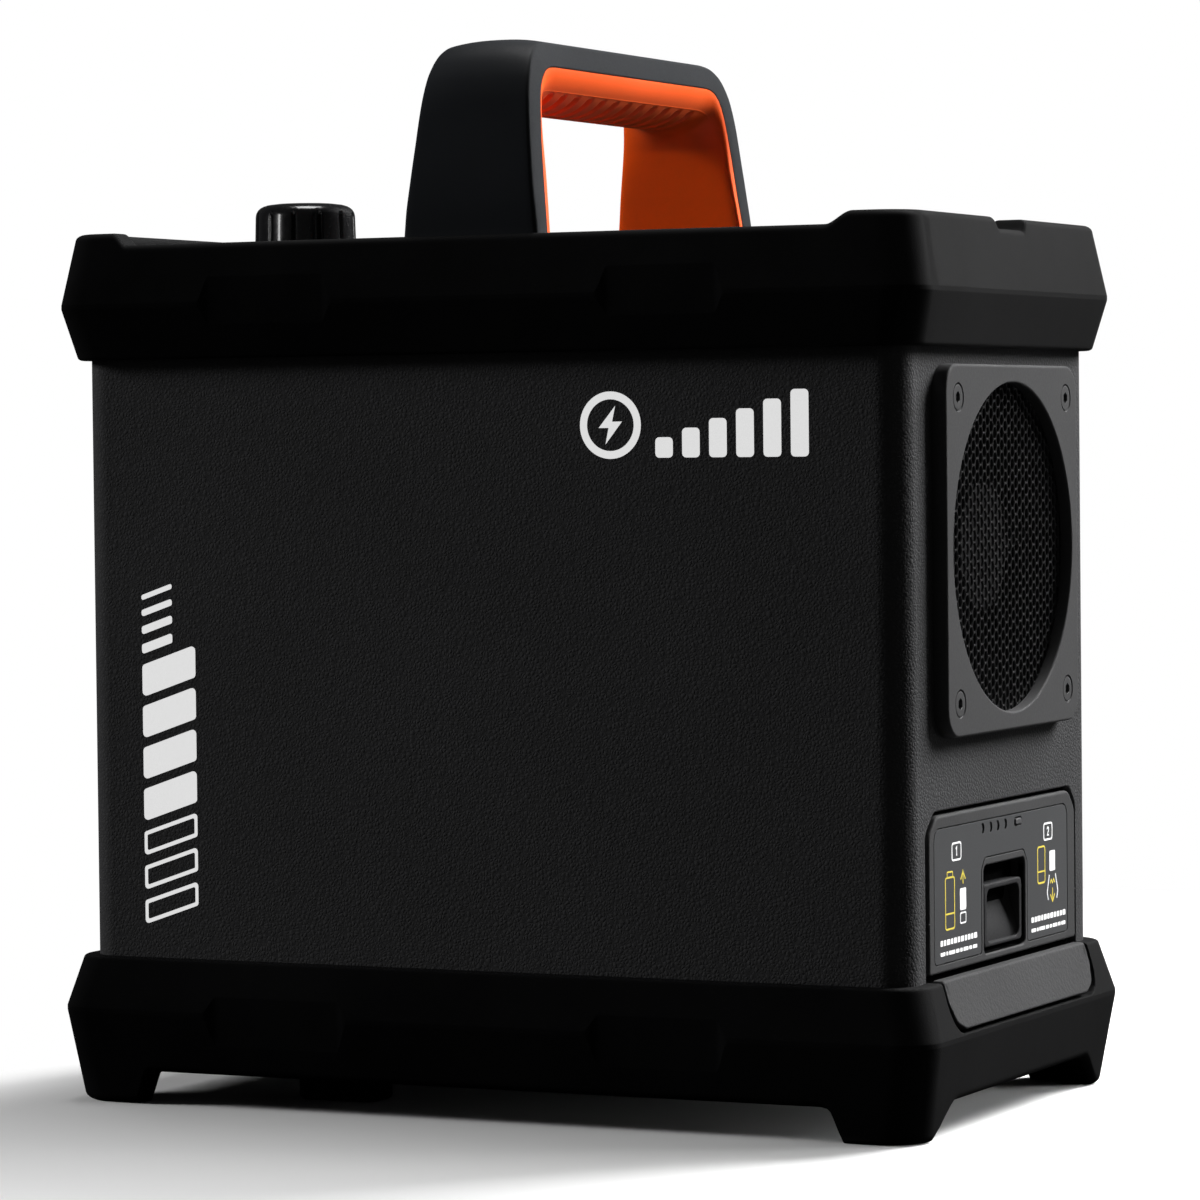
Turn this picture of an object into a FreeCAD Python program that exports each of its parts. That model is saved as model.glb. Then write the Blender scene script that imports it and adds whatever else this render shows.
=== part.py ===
import FreeCAD, Part
import math
import os
import Sketcher

# Battery-powered studio flash generator (power pack).
# Frame: origin on the ground at the centre of the footprint, +X towards the
# end that carries the fan and the battery, +Y to the back, +Z up. Millimetres.

Vector = FreeCAD.Vector

os.makedirs("parts", exist_ok=True)
doc = FreeCAD.newDocument("FlashPack")
sheet = doc.addObject("Spreadsheet::Sheet", "dims")

# Driving dimensions: alias, value, what it is
TABLE = [
    ("body_w", 238.0, "sleeve length along X"),
    ("body_d", 132.8, "sleeve depth along Y"),
    ("body_rad", 8.0, "sleeve vertical corner radius"),
    ("wall", 2.0, "sleeve wall"),
    ("sleeve_lo", 12.0, "sleeve lower edge"),
    ("sleeve_hi", 222.0, "sleeve upper edge, control panel top"),
    ("ridge_w", 251.7, "bumper ridge length"),
    ("ridge_d", 144.7, "bumper ridge depth"),
    ("lip", 2.4, "bumper stand-off at its edges"),
    ("bump_rad", 10.4, "bumper corner radius"),
    ("tb_lo", 199.1, "top bumper lower edge"),
    ("tb_ridge", 213.3, "top bumper ridge height"),
    ("tb_mid", 229.6, "rim height along the long sides"),
    ("tb_hi", 232.9, "rim height at the ends and corners"),
    ("rim_in_x", 113.0, "rim inner half length"),
    ("rim_in_y", 61.9, "rim inner half depth"),
    ("bb_hi", 39.2, "bottom bumper upper edge"),
    ("bb_ridge", 25.2, "bottom bumper ridge height"),
    ("arch", 8.2, "clearance under the arches"),
    ("ledge_x", 109.0, "bottom ledge inner half length"),
    ("ledge_y", 56.4, "bottom ledge inner half depth"),
    ("plate_thk", 2.0, "base plate thickness"),
    ("vent_z", 147.5, "vent axis height"),
    ("vent_side", 94.6, "vent plate side"),
    ("vent_open", 42.7, "vent opening radius"),
    ("vent_thk", 3.9, "vent plate thickness"),
    ("vent_pitch", 38.8, "vent screw half pitch"),
    ("bat_half", 51.4, "battery case half width"),
    ("bat_lo", 27.0, "battery underside"),
    ("bat_hi", 80.8, "battery top"),
    ("bat_back", -90.6, "battery rear face"),
    ("bat_face", 119.4, "battery front face"),
    ("bat_skin", 2.0, "battery case wall"),
    ("face_half", 52.7, "battery front panel half width"),
    ("face_thk", 4.0, "battery front panel thickness"),
    ("bay_gap", 0.6, "clearance round the battery"),
    ("rod_y", 28.0, "pull rod distance from the centre"),
    ("rod_z", 31.9, "pull rod height"),
    ("deck_z", 84.5, "electronics deck height"),
    ("panel_thk", 3.4, "control panel thickness"),
    ("knob_x", -86.4, "dial axis"),
    ("knob_rad", 15.75, "dial radius at the base"),
    ("knob_top", 242.8, "dial top"),
    ("handle_top", 279.8, "handle top"),
    ("handle_screw_x", 9.0, "handle screw half pitch"),
    ("handle_screw_z", 209.0, "handle screw height"),
    ("socket_x", 66.0, "flash-head socket axis"),
    ("socket_bore", 17.5, "flash-head socket bore radius"),
    ("socket_depth", 25.0, "flash-head socket depth"),
    ("sync_bore", 1.8, "sync jack bore radius"),
    ("btn_rad", 5.0, "button radius"),
    ("cell_rad", 9.2, "battery cell radius"),
    ("cell_len", 65.0, "battery cell length"),
    ("cell_pitch", 18.6, "battery cell pitch"),
    ("can_rad", 21.0, "capacitor can radius"),
    ("can_len", 87.5, "capacitor can height"),
]
for row, (alias, value, note) in enumerate(TABLE, start=1):
    sheet.set("A%d" % row, alias)
    sheet.set("B%d" % row, "%g" % value)
    sheet.set("C%d" % row, note)
    sheet.setAlias("B%d" % row, alias)
doc.recompute()

OPERATIONS = {"+": float.__add__, "-": float.__sub__, "*": float.__mul__, "/": float.__truediv__}


class Size:
    """A number that also carries its spreadsheet expression."""

    def __init__(self, value, text):
        self.value = value
        self.text = text

    def mix(self, other, sign, swap=False):
        if not isinstance(other, Size):
            other = Size(float(other), "%g" % other)
        left, right = (other, self) if swap else (self, other)
        value = OPERATIONS[sign](left.value, right.value)
        return Size(value, "(%s %s %s)" % (left.text, sign, right.text))

    def __add__(self, other): return self.mix(other, "+")
    def __radd__(self, other): return self.mix(other, "+", True)
    def __sub__(self, other): return self.mix(other, "-")
    def __rsub__(self, other): return self.mix(other, "-", True)
    def __mul__(self, other): return self.mix(other, "*")
    def __rmul__(self, other): return self.mix(other, "*", True)
    def __truediv__(self, other): return self.mix(other, "/")
    def __neg__(self): return self.mix(0, "-", True)


class Dimensions:
    """One Size per alias of the spreadsheet."""


dim = Dimensions()
for alias, value, note in TABLE:
    setattr(dim, alias, Size(value, "dims." + alias))


def number(size):
    return size.value if isinstance(size, Size) else float(size)


def bind(obj, prop, size):
    if isinstance(size, Size):
        obj.setExpression(prop, size.text)


def unique_name(prefix):
    return "%s%03d" % (prefix, len(doc.Objects))


def faulty(obj):
    return "Invalid" in obj.State or "Error" in obj.State


# ---------------------------------------------------------------------------
# Sketch profiles: each function returns one that draws into a given sketch
# ---------------------------------------------------------------------------
def constrain(sketch, size, kind, *where):
    index = sketch.addConstraint(Sketcher.Constraint(kind, *where, number(size)))
    bind(sketch, "Constraints[%d]" % index, size)


def pin_point(sketch, edge, end, x, y):
    for kind, axis, size in (("DistanceX", -2, x), ("DistanceY", -1, y)):
        if not isinstance(size, Size) and abs(size) < 1e-9:
            sketch.addConstraint(Sketcher.Constraint("PointOnObject", edge, end, axis))
        else:
            constrain(sketch, size, kind, -1, 1, edge, end)


def polygon(points):
    def draw(sketch):
        count = len(points)
        base = sketch.GeometryCount
        corners = [Vector(number(x), number(y), 0) for x, y in points]
        for i in range(count):
            sketch.addGeometry(Part.LineSegment(corners[i], corners[(i + 1) % count]), False)
        for i in range(count):
            sketch.addConstraint(
                Sketcher.Constraint("Coincident", base + i, 2, base + (i + 1) % count, 1))
        for i in range(count):
            pin_point(sketch, base + i, 1, *points[i])
    return draw


def rectangle(x0, x1, y0, y1):
    return polygon([(x0, y0), (x1, y0), (x1, y1), (x0, y1)])


def mirror(points):
    return [(-x, y) for x, y in points]


def symmetric(right):
    """Closed outline from its right half, listed from the bottom up."""
    return polygon(mirror(right[:1]) + right + mirror(right[:0:-1]))


def circles(entries):
    """entries: centre x, centre y, radius."""
    def draw(sketch):
        for x, y, radius in entries:
            circle = Part.Circle(Vector(number(x), number(y), 0), Vector(0, 0, 1), number(radius))
            edge = sketch.addGeometry(circle, False)
            pin_point(sketch, edge, 3, x, y)
            constrain(sketch, radius, "Radius", edge)
    return draw


def several(*profiles):
    def draw(sketch):
        for profile in profiles:
            profile(sketch)
    return draw


def rounded(half_x, half_y, radius):
    """Rounded rectangle centred on the sketch origin."""
    def draw(sketch):
        x, y, r = number(half_x), number(half_y), number(radius)
        base = sketch.GeometryCount
        sides = [((-x + r, -y), (x - r, -y)), ((x, -y + r), (x, y - r)),
                 ((x - r, y), (-x + r, y)), ((-x, y - r), (-x, -y + r))]
        for start, end in sides:
            sketch.addGeometry(Part.LineSegment(Vector(*start, 0), Vector(*end, 0)), False)
        centres = [(x - r, -y + r, -90), (x - r, y - r, 0), (-x + r, y - r, 90), (-x + r, -y + r, 180)]
        for centre_x, centre_y, angle in centres:
            circle = Part.Circle(Vector(centre_x, centre_y, 0), Vector(0, 0, 1), r)
            sketch.addGeometry(
                Part.ArcOfCircle(circle, math.radians(angle), math.radians(angle + 90)), False)
        for i in range(4):
            side, arc, next_side = base + i, base + 4 + i, base + (i + 1) % 4
            sketch.addConstraint(Sketcher.Constraint("Tangent", side, 2, arc, 1))
            sketch.addConstraint(Sketcher.Constraint("Tangent", arc, 2, next_side, 1))
        for kind, side in (("Horizontal", 0), ("Horizontal", 2), ("Vertical", 1), ("Vertical", 3)):
            sketch.addConstraint(Sketcher.Constraint(kind, base + side))
        for i in range(1, 4):
            sketch.addConstraint(Sketcher.Constraint("Equal", base + 4, base + 4 + i))
        constrain(sketch, radius, "Radius", base + 4)
        for side, kind, size in ((0, "DistanceY", -half_y), (2, "DistanceY", half_y),
                                 (1, "DistanceX", half_x), (3, "DistanceX", -half_x)):
            constrain(sketch, size, kind, -1, 1, base + side, 1)
    return draw


# ---------------------------------------------------------------------------
# PartDesign helpers
# ---------------------------------------------------------------------------
def new_body(name):
    return doc.addObject("PartDesign::Body", name)


def new_sketch(body, plane, offset, profile):
    """Sketch on the plane "XY", "XZ" or "YZ" of the body, offset along its normal."""
    sketch = body.newObject("Sketcher::SketchObject", unique_name("Sketch"))
    support = [f for f in body.Origin.OriginFeatures if f.Role == plane + "_Plane"][0]
    sketch.AttachmentSupport = [(support, "")]
    sketch.MapMode = "FlatFace"
    sketch.AttachmentOffset = FreeCAD.Placement(Vector(0, 0, number(offset)), FreeCAD.Rotation())
    bind(sketch, "AttachmentOffset.Base.z", offset)
    profile(sketch)
    sketch.Visibility = False
    return sketch


def extrude(kind, body, plane, offset, profile, length, reverse):
    sketch = new_sketch(body, plane, offset, profile)
    doc.recompute()
    feature = body.newObject("PartDesign::" + kind, unique_name(kind))
    feature.Profile = sketch
    if length is None:
        feature.Type = 1  # through all
    else:
        feature.Length = number(length)
        bind(feature, "Length", length)
    feature.Reversed = reverse
    doc.recompute()


def pad(body, plane, offset, profile, length):
    extrude("Pad", body, plane, offset, profile, length, False)


def pocket(body, plane, offset, profile, length=None, reverse=False):
    extrude("Pocket", body, plane, offset, profile, length, reverse)


def loft(body, sections):
    """sections: z, half x, half y, radius of rounded rectangles joined by straight facets."""
    sketches = [new_sketch(body, "XY", z, rounded(*outline)) for z, *outline in sections]
    doc.recompute()
    feature = body.newObject("PartDesign::AdditiveLoft", unique_name("Loft"))
    feature.Profile = sketches[0]
    feature.Sections = sketches[1:]
    feature.Ruled = True
    doc.recompute()


def middle(edge):
    return edge.valueAt((edge.FirstParameter + edge.LastParameter) / 2.0)


def fillet(body, radius, pick):
    tip = body.Tip
    names = ["Edge%d" % i for i, edge in enumerate(tip.Shape.Edges, start=1) if pick(edge)]
    if not names:
        raise RuntimeError("no edges to round in %s" % body.Name)
    feature = body.newObject("PartDesign::Fillet", unique_name("Fillet"))
    feature.Base = (tip, names)
    feature.Radius = radius
    doc.recompute()
    # A fillet the kernel cannot build is taken out, and the edges stay sharp.
    if faulty(feature) or feature.Shape.isNull() or not feature.Shape.isValid():
        body.removeObject(feature)
        doc.removeObject(feature.Name)
        body.Tip = tip
        doc.recompute()


# ---------------------------------------------------------------------------
# Part helpers
# ---------------------------------------------------------------------------
ROTATION = {"Z": FreeCAD.Rotation(),
            "X": FreeCAD.Rotation(Vector(0, 1, 0), 90),
            "Y": FreeCAD.Rotation(Vector(1, 0, 0), -90)}


def primitive(kind, sizes, x, y, z, axis="Z"):
    obj = doc.addObject("Part::" + kind, unique_name(kind))
    for prop, size in sizes.items():
        setattr(obj, prop, number(size))
        bind(obj, prop, size)
    obj.Placement = FreeCAD.Placement(Vector(number(x), number(y), number(z)), ROTATION[axis])
    for name, size in (("x", x), ("y", y), ("z", z)):
        bind(obj, "Placement.Base." + name, size)
    return obj


def box(x0, x1, y0, y1, z0, z1):
    return primitive("Box", {"Length": x1 - x0, "Width": y1 - y0, "Height": z1 - z0}, x0, y0, z0)


def cylinder(x, y, z, radius, length, axis="Z"):
    """Cylinder from (x, y, z) along the positive axis."""
    return primitive("Cylinder", {"Radius": radius, "Height": length}, x, y, z, axis)


def cone(x, y, z, radius0, radius1, length, axis="Z"):
    sizes = {"Radius1": radius0, "Radius2": radius1, "Height": length}
    return primitive("Cone", sizes, x, y, z, axis)


def fuse(*objs):
    if len(objs) == 1:
        return objs[0]
    obj = doc.addObject("Part::MultiFuse", unique_name("Fuse"))
    obj.Shapes = list(objs)
    return obj


def cut(base, *tools):
    obj = doc.addObject("Part::Cut", unique_name("Cut"))
    obj.Base = base
    obj.Tool = fuse(*tools)
    return obj


def group(objs):
    obj = doc.addObject("Part::Compound", unique_name("Group"))
    obj.Links = list(objs)
    return obj


def computed(shape):
    """Document object for a shape computed in place, in code."""
    obj = doc.addObject("Part::Feature", unique_name("Computed"))
    obj.Shape = shape
    obj.Placement = FreeCAD.Placement()
    return obj


def computed_group(shapes):
    return computed(Part.makeCompound(shapes))


def hexagon(centre, across, axis):
    """Closed hexagon wire normal to axis; across is its size over the flats."""
    radius = across / math.sqrt(3.0)
    points = []
    for i in range(7):
        angle = math.radians(60 * (i % 6))
        u, v = radius * math.cos(angle), radius * math.sin(angle)
        offset = {"Z": Vector(u, v, 0), "X": Vector(0, u, v), "Y": Vector(u, 0, v)}[axis]
        points.append(centre + offset)
    return Part.makePolygon(points)


def finish_screw(head, face, inward, shank_rad, length, key, key_depth):
    """Add the shank to a screw head and sink the hex key socket into it."""
    shank = Part.makeCylinder(shank_rad, length, face, inward)
    axis = "X" if abs(inward.x) > 0.5 else ("Y" if abs(inward.y) > 0.5 else "Z")
    socket = Part.Face(hexagon(face, key, axis)).extrude(inward * key_depth)
    return head.fuse(shank).cut(socket).removeSplitter()


def flat_screw(face, inward, head_rad, head_height, shank_rad, length, key):
    """Countersunk screw; face is the centre of its flush face, inward points into the material."""
    head = Part.makeCone(head_rad, shank_rad, head_height, face, inward)
    return finish_screw(head, face, inward, shank_rad, length, key, head_height * 0.8)


def cap_screw(face, inward, head_rad, head_height, shank_rad, length, key):
    """Cap screw; face is the centre of the head's outer face, inward points along the shank."""
    head = Part.makeCylinder(head_rad, head_height, face, inward)
    return finish_screw(head, face, inward, shank_rad, length, key, head_height * 0.6)


def cable(points, radius, bend):
    """Round cable along straight runs joined by arcs of radius bend."""
    points = [Vector(*p) for p in points]
    edges = []
    last = points[0]
    for before, corner, after in zip(points, points[1:], points[2:]):
        back, ahead = (before - corner).normalize(), (after - corner).normalize()
        half_angle = math.acos(max(-1, min(1, back.dot(ahead)))) / 2.0
        trim = bend / math.tan(half_angle)
        start, end = corner + back * trim, corner + ahead * trim
        bisector = (back + ahead).normalize()
        centre = corner + bisector * (bend / math.sin(half_angle))
        edges.append(Part.LineSegment(last, start).toShape())
        edges.append(Part.Arc(start, centre - bisector * bend, end).toShape())
        last = end
    edges.append(Part.LineSegment(last, points[-1]).toShape())
    tangent = (points[1] - points[0]).normalize()
    section = Part.Wire([Part.makeCircle(radius, points[0], tangent)])
    return Part.Wire(edges).makePipeShell([section], True, False)


# ---------------------------------------------------------------------------
# Sleeve and bumpers
# ---------------------------------------------------------------------------
HALF_X, HALF_Y = dim.body_w / 2, dim.body_d / 2
INNER_X, INNER_Y, INNER_RAD = HALF_X - dim.wall, HALF_Y - dim.wall, dim.body_rad - dim.wall
LIP_X, LIP_Y = HALF_X + dim.lip, HALF_Y + dim.lip
RIDGE_X, RIDGE_Y = dim.ridge_w / 2, dim.ridge_d / 2
FAR_Y = 80            # sketch plane clear of the long sides, for cuts through the pack
SCREW_BORE = 1.6      # clearance hole radius of the small screws
VENT_CORNERS = [(side * dim.vent_pitch, dim.vent_z + level * dim.vent_pitch)
                for side in (-1, 1) for level in (-1, 1)]
RECESS_HALF = dim.bat_half + 1.2   # half width of the pull bar recess
RECESS_LOW = 25.9
BASE_SCREWS = [(-62, -60.4), (62, -60.4), (-62, 60.4), (62, 60.4), (-113, 0), (113, 0)]


def housing_shell():
    """Rectangular sleeve, open at the top and bottom."""
    body = new_body("HousingShell")
    pad(body, "XY", dim.sleeve_lo, rounded(HALF_X, HALF_Y, dim.body_rad),
        dim.sleeve_hi - dim.sleeve_lo)
    pocket(body, "XY", dim.sleeve_hi, rounded(INNER_X, INNER_Y, INNER_RAD))
    through_wall = dim.wall + 2
    # fan opening in the +X end
    pocket(body, "YZ", HALF_X + 1, circles([(0, dim.vent_z, dim.vent_open + 0.3)]), through_wall)
    # battery opening in the +X end, upper corners cut off
    half, top = dim.face_half + 1.2, dim.bat_hi + 1.0
    opening = symmetric([(half, dim.bb_hi - 12.8), (half, top - 4.8), (half - 4.4, top)])
    pocket(body, "YZ", HALF_X + 1, opening, through_wall)
    # intake slots in the -X end
    for k in range(9):
        y = -36.0 + 9.0 * k
        slot = rectangle(y - 2.0, y + 2.0, dim.vent_z - 24, dim.vent_z + 24)
        pocket(body, "YZ", -HALF_X - 1, slot, through_wall, reverse=True)
    # handle screw holes through both long walls, under the top bumper
    pocket(body, "XZ", FAR_Y, handle_screw_holes(3.85))
    for y, z in VENT_CORNERS:
        pocket(body, "YZ", HALF_X + 1, circles([(y, z, SCREW_BORE)]), through_wall)
    return body


def handle_screw_holes(radius):
    return circles([(side * dim.handle_screw_x, dim.handle_screw_z, radius) for side in (-1, 1)])


def top_bumper():
    """Frame with a chevron section and a raised rim."""
    flat_half = 99.4   # half length of the lower stretch of the long rims
    ramp_half = 104.6  # where the ramps reach full height
    body = new_body("TopBumper")
    loft(body, [(dim.tb_lo, LIP_X, LIP_Y, dim.bump_rad),
                (dim.tb_ridge, RIDGE_X, RIDGE_Y, dim.bump_rad),
                (dim.tb_hi, LIP_X, LIP_Y, dim.bump_rad)])
    fillet(body, 2.0, lambda edge: abs(middle(edge).z - dim.tb_ridge.value) < 0.05)
    pocket(body, "XY", dim.sleeve_hi, rounded(HALF_X, HALF_Y, dim.body_rad),
           dim.sleeve_hi - dim.tb_lo + 1)
    pocket(body, "XY", dim.tb_hi + 1, rounded(dim.rim_in_x, dim.rim_in_y, 6.0),
           dim.tb_hi - dim.sleeve_hi + 2)
    # the rim is lower along the long sides, with a ramp up to the corners
    pocket(body, "XZ", FAR_Y, symmetric([(flat_half, dim.tb_mid), (ramp_half, dim.tb_hi),
                                         (ramp_half, dim.tb_hi + 4)]))
    fillet(body, 3.0, lambda edge: 6 < edge.Length < 12
           and abs(abs(middle(edge).x) - flat_half) < 0.1
           and abs(middle(edge).z - dim.tb_mid.value) < 0.1)
    # notch in the +X rim
    pocket(body, "YZ", 130, symmetric([(9.6, 229.9), (13.4, dim.tb_hi + 0.01),
                                       (13.4, dim.tb_hi + 4)]), 25)
    # pockets for the handle tongues inside the long rims
    for side in (-1, 1):
        gap = rectangle(-17.2, 17.2, side * (dim.rim_in_y - 2.0), side * (INNER_Y + 0.2))
        pocket(body, "XY", dim.tb_hi + 1, gap, dim.tb_hi - dim.sleeve_hi + 1)
    fillet(body, 1.6, lambda edge: abs(middle(edge).z - dim.tb_hi.value) < 0.02
           and edge.Length > 8 and abs(middle(edge).x) > 114)
    return body


def bar_outline(half, low, chamfer, knee, top):
    """U-shaped outline shared by the pull bar and its recess."""
    right = [(half - chamfer, low), (half - 2.2, low + knee), (half, low + chamfer), (half, top)]
    return polygon(mirror(right[::-1]) + right)


def base_holes(radius):
    return circles([(x, y, radius) for x, y in BASE_SCREWS])


def bottom_bumper():
    """Chevron section with corner feet and arches between them."""
    body = new_body("BottomBumper")
    loft(body, [(0, LIP_X - 0.2, LIP_Y - 0.2, dim.bump_rad),
                (dim.bb_ridge, RIDGE_X, RIDGE_Y, dim.bump_rad),
                (dim.bb_hi, LIP_X, LIP_Y, dim.bump_rad)])
    fillet(body, 2.0, lambda edge: abs(middle(edge).z - dim.bb_ridge.value) < 0.05)
    pocket(body, "XY", dim.bb_hi + 1, rounded(HALF_X, HALF_Y, dim.body_rad),
           dim.bb_hi - dim.sleeve_lo + 1)
    pocket(body, "XY", dim.sleeve_lo + 1, rounded(dim.ledge_x, dim.ledge_y, 5.0),
           dim.sleeve_lo + 2)
    # arches under the long sides, then under the ends
    pocket(body, "XZ", FAR_Y, symmetric([(101.6, -1), (101.2, 0.4), (96.2, dim.arch)]))
    pocket(body, "YZ", 135, symmetric([(50.6, -1), (50.2, 0.4), (41.0, dim.arch)]))
    # recess of the pull bar in the upper facet of the +X end, open upwards
    pocket(body, "YZ", 130, bar_outline(RECESS_HALF, RECESS_LOW, 7.6, 2.2, dim.bb_hi + 2), 20)
    # countersunk holes for the base screws, in the ledge
    pocket(body, "XY", dim.sleeve_lo + 1, base_holes(SCREW_BORE), 6)
    pocket(body, "XY", 9.9, base_holes(2.9), 4)
    fillet(body, 1.2, lambda edge: middle(edge).z < 0.01)
    return body


# ---------------------------------------------------------------------------
# Base plate on the bumper ledge, inside the sleeve
# ---------------------------------------------------------------------------
PLATE_TOP = dim.sleeve_lo + dim.plate_thk


def base_plate():
    body = new_body("BasePlate")
    pad(body, "XY", dim.sleeve_lo, rounded(INNER_X - 0.1, INNER_Y - 0.1, INNER_RAD - 0.1),
        dim.plate_thk)
    pocket(body, "XY", dim.sleeve_lo + 3, base_holes(1.55))
    return body


def base_screws():
    return computed_group([
        cap_screw(Vector(x, y, 8.3), Vector(0, 0, 1), head_rad=2.8, head_height=1.6,
                  shank_rad=1.5, length=5.7, key=2.0) for x, y in BASE_SCREWS])


def base_pads():
    """Two oblong rest pads under the plate, in the -X half."""
    length, width, height, low = 24, 14, 11.9, 0.1
    pads = []
    for side in (-1, 1):
        block = Part.makeBox(length, width, height, Vector(-67, side * 40 - width / 2, low))
        upright = [e for e in block.Edges if abs(middle(e).z - (low + height / 2)) < 0.1]
        block = block.makeFillet(4.0, upright)
        block = block.makeFillet(1.2, [e for e in block.Edges if abs(middle(e).z - low) < 0.01])
        pads.append(block)
    return computed_group(pads)


# ---------------------------------------------------------------------------
# Battery bay: tunnel that guides the battery, its roof is the electronics deck
# ---------------------------------------------------------------------------
BAY_HALF = dim.bat_half + dim.bay_gap
TERMINAL_Y = (-12.0, 0.0, 12.0)


def battery_bay():
    body = new_body("BatteryBay")
    outer = BAY_HALF + 2.4
    pad(body, "YZ", -97.0, symmetric([(outer - 8, 24.0), (outer, 32.0), (outer, dim.deck_z)]),
        INNER_X + 96.9)
    low, top = dim.bat_lo - dim.bay_gap, dim.bat_hi + 0.7
    tunnel = symmetric([(BAY_HALF - 7, low), (BAY_HALF, low + 7), (BAY_HALF, top)])
    pocket(body, "YZ", INNER_X + 1, tunnel, INNER_X + 1 + 94.0)
    # ribs standing on the base plate
    for y in (-40.0, 0.0, 40.0):
        pad(body, "XY", PLATE_TOP, rectangle(-92, 104, y - 2, y + 2), 10.6)
    # window for the supply terminals in the rear wall
    pocket(body, "YZ", -90.0, rectangle(-18, 18, 44, 64), 10)
    # wider mouth for the front panel
    mouth = dim.face_half + 0.6
    pocket(body, "YZ", INNER_X + 1, rectangle(-mouth, mouth, dim.bb_hi - 0.2, top), 3.1)
    return body


def bay_contacts():
    """Insulating block with three blades that enter the battery."""
    block = cut(box(-97, -91.4, -17.9, 17.9, 44.1, 63.9), box(-98, -95.5, -12, 12, 48, 60))
    return fuse(block, *[box(-92.0, -85.6, y - 0.5, y + 0.5, 46.0, 62.0) for y in TERMINAL_Y])


# ---------------------------------------------------------------------------
# Battery
# ---------------------------------------------------------------------------
CASE_FRONT = dim.bat_face - dim.face_thk
CASE_CUT = 6.4            # corner cut along the underside
PROUD = dim.bat_face + 1  # sketch plane just clear of the front face
LED_Y = [-13.0, -7.3, -2.2, 3.2]
CELL_COLUMNS = 10
CELL_ROWS = (46.2, 65.2)  # heights of the cell axes
CELL_X = -69.4            # axis of the first column
ROD_BACK = 72.0


def case_outline(inset):
    half = dim.bat_half - inset
    low, top = dim.bat_lo + inset, dim.bat_hi - inset
    return symmetric([(half - CASE_CUT, low), (half, low + CASE_CUT), (half, top - 4.6),
                      (half - 4.6, top)])


def battery_case():
    body = new_body("BatteryCase")
    length = CASE_FRONT - dim.bat_back
    pad(body, "YZ", dim.bat_back, case_outline(0), length)
    pocket(body, "YZ", CASE_FRONT, case_outline(dim.bat_skin), length - dim.bat_skin)
    # terminal slots in the rear wall
    for y in TERMINAL_Y:
        pocket(body, "YZ", -80.0, rectangle(y - 1.0, y + 1.0, 45.0, 63.0), 14)
    return body


def led_windows(half, low, top):
    return several(*[rectangle(y - half, y + half, low, top) for y in LED_Y])


def battery_front_panel():
    body = new_body("BatteryFrontPanel")
    wide, narrow = dim.face_half, dim.bat_half
    low, top = dim.bat_lo, dim.bat_hi
    step = dim.bb_hi + 0.5  # the panel widens above the bottom bumper
    outline = symmetric([(narrow - CASE_CUT, low), (narrow, low + CASE_CUT), (narrow, step),
                         (wide, step), (wide, top - 4.8), (wide - 4.4, top)])
    pad(body, "YZ", CASE_FRONT, outline, dim.face_thk)
    # shallow seat of the label
    pocket(body, "YZ", PROUD, rectangle(-46.9, 46.9, 42.9, 77.6), 1.4)
    # slot of the latch slider
    pocket(body, "YZ", PROUD, rectangle(-14.9, 14.9, 42.7, 65.6))
    # the face is set back below its visible edge, for a dark joint above the pull bar
    pocket(body, "YZ", PROUD, rectangle(-60.0, 60.0, 20.0, 40.75), 2.9)
    pocket(body, "YZ", PROUD, led_windows(0.75, 73.8, 76.8))
    # test button opening
    pocket(body, "YZ", PROUD, rectangle(9.7, 14.9, 73.9, 76.7))
    pocket(body, "YZ", PROUD, circles([(side * dim.rod_y, dim.rod_z, 2.56) for side in (-1, 1)]))
    return body


def battery_label():
    body = new_body("BatteryLabel")
    outline = polygon([(-46.7, 43.1), (-16.6, 43.1), (-16.6, 64.6), (-14.0, 67.3), (14.0, 67.3),
                       (16.6, 64.6), (16.6, 43.1), (46.7, 43.1), (46.7, 77.4), (-46.7, 77.4)])
    pad(body, "YZ", dim.bat_face - 0.4, outline, 0.35)
    button_window = rectangle(9.5, 15.1, 73.7, 76.9)
    pocket(body, "YZ", PROUD, several(led_windows(0.9, 73.6, 77.0), button_window))
    return body


def charge_leds():
    return group([box(114.9, 119.1, y - 0.65, y + 0.65, 73.9, 76.7) for y in LED_Y])


def battery_test_button():
    return fuse(box(114.6, 119.9, 9.85, 14.75, 74.05, 76.55), box(114.0, 115.1, 9.0, 15.6, 73.2, 77.4))


def battery_latch():
    """Slider with a dished thumb pocket, guide flange, bolt and spring seat."""
    slider = cut(box(113.4, 118.9, -13.6, 13.6, 44.1, 60.5),
                 cylinder(121.9, -11, 53.4, 6.2, 22, "Y"))
    flange = box(112.6, 115.2, -17, 17, 40.5, 64.8)
    bolt = box(112.6, 114.6, -5, 5, 29.4, 41.5)
    spring_seat = box(108.4, 113.5, -4, 4, 62.6, 64.8)
    return fuse(slider, flange, bolt, spring_seat)


def latch_spring():
    pitch, height, radius, wire_rad = 2.4, 13.0, 2.5, 0.4
    x, z = 111.0, 65.25
    helix = Part.makeHelix(pitch, height, radius)
    helix.translate(Vector(x, 0, z))
    section = Part.makeCircle(wire_rad, Vector(x + radius, 0, z), Vector(0, 1, 0))
    return computed(Part.Wire(helix.Edges).makePipeShell([Part.Wire([section])], True, True))


def battery_cells():
    """Cells along Y in two rows of ten."""
    return group([cylinder(CELL_X + dim.cell_pitch * i, -41.0, z, dim.cell_rad, dim.cell_len, "Y")
                  for i in range(CELL_COLUMNS) for z in CELL_ROWS])


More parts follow.
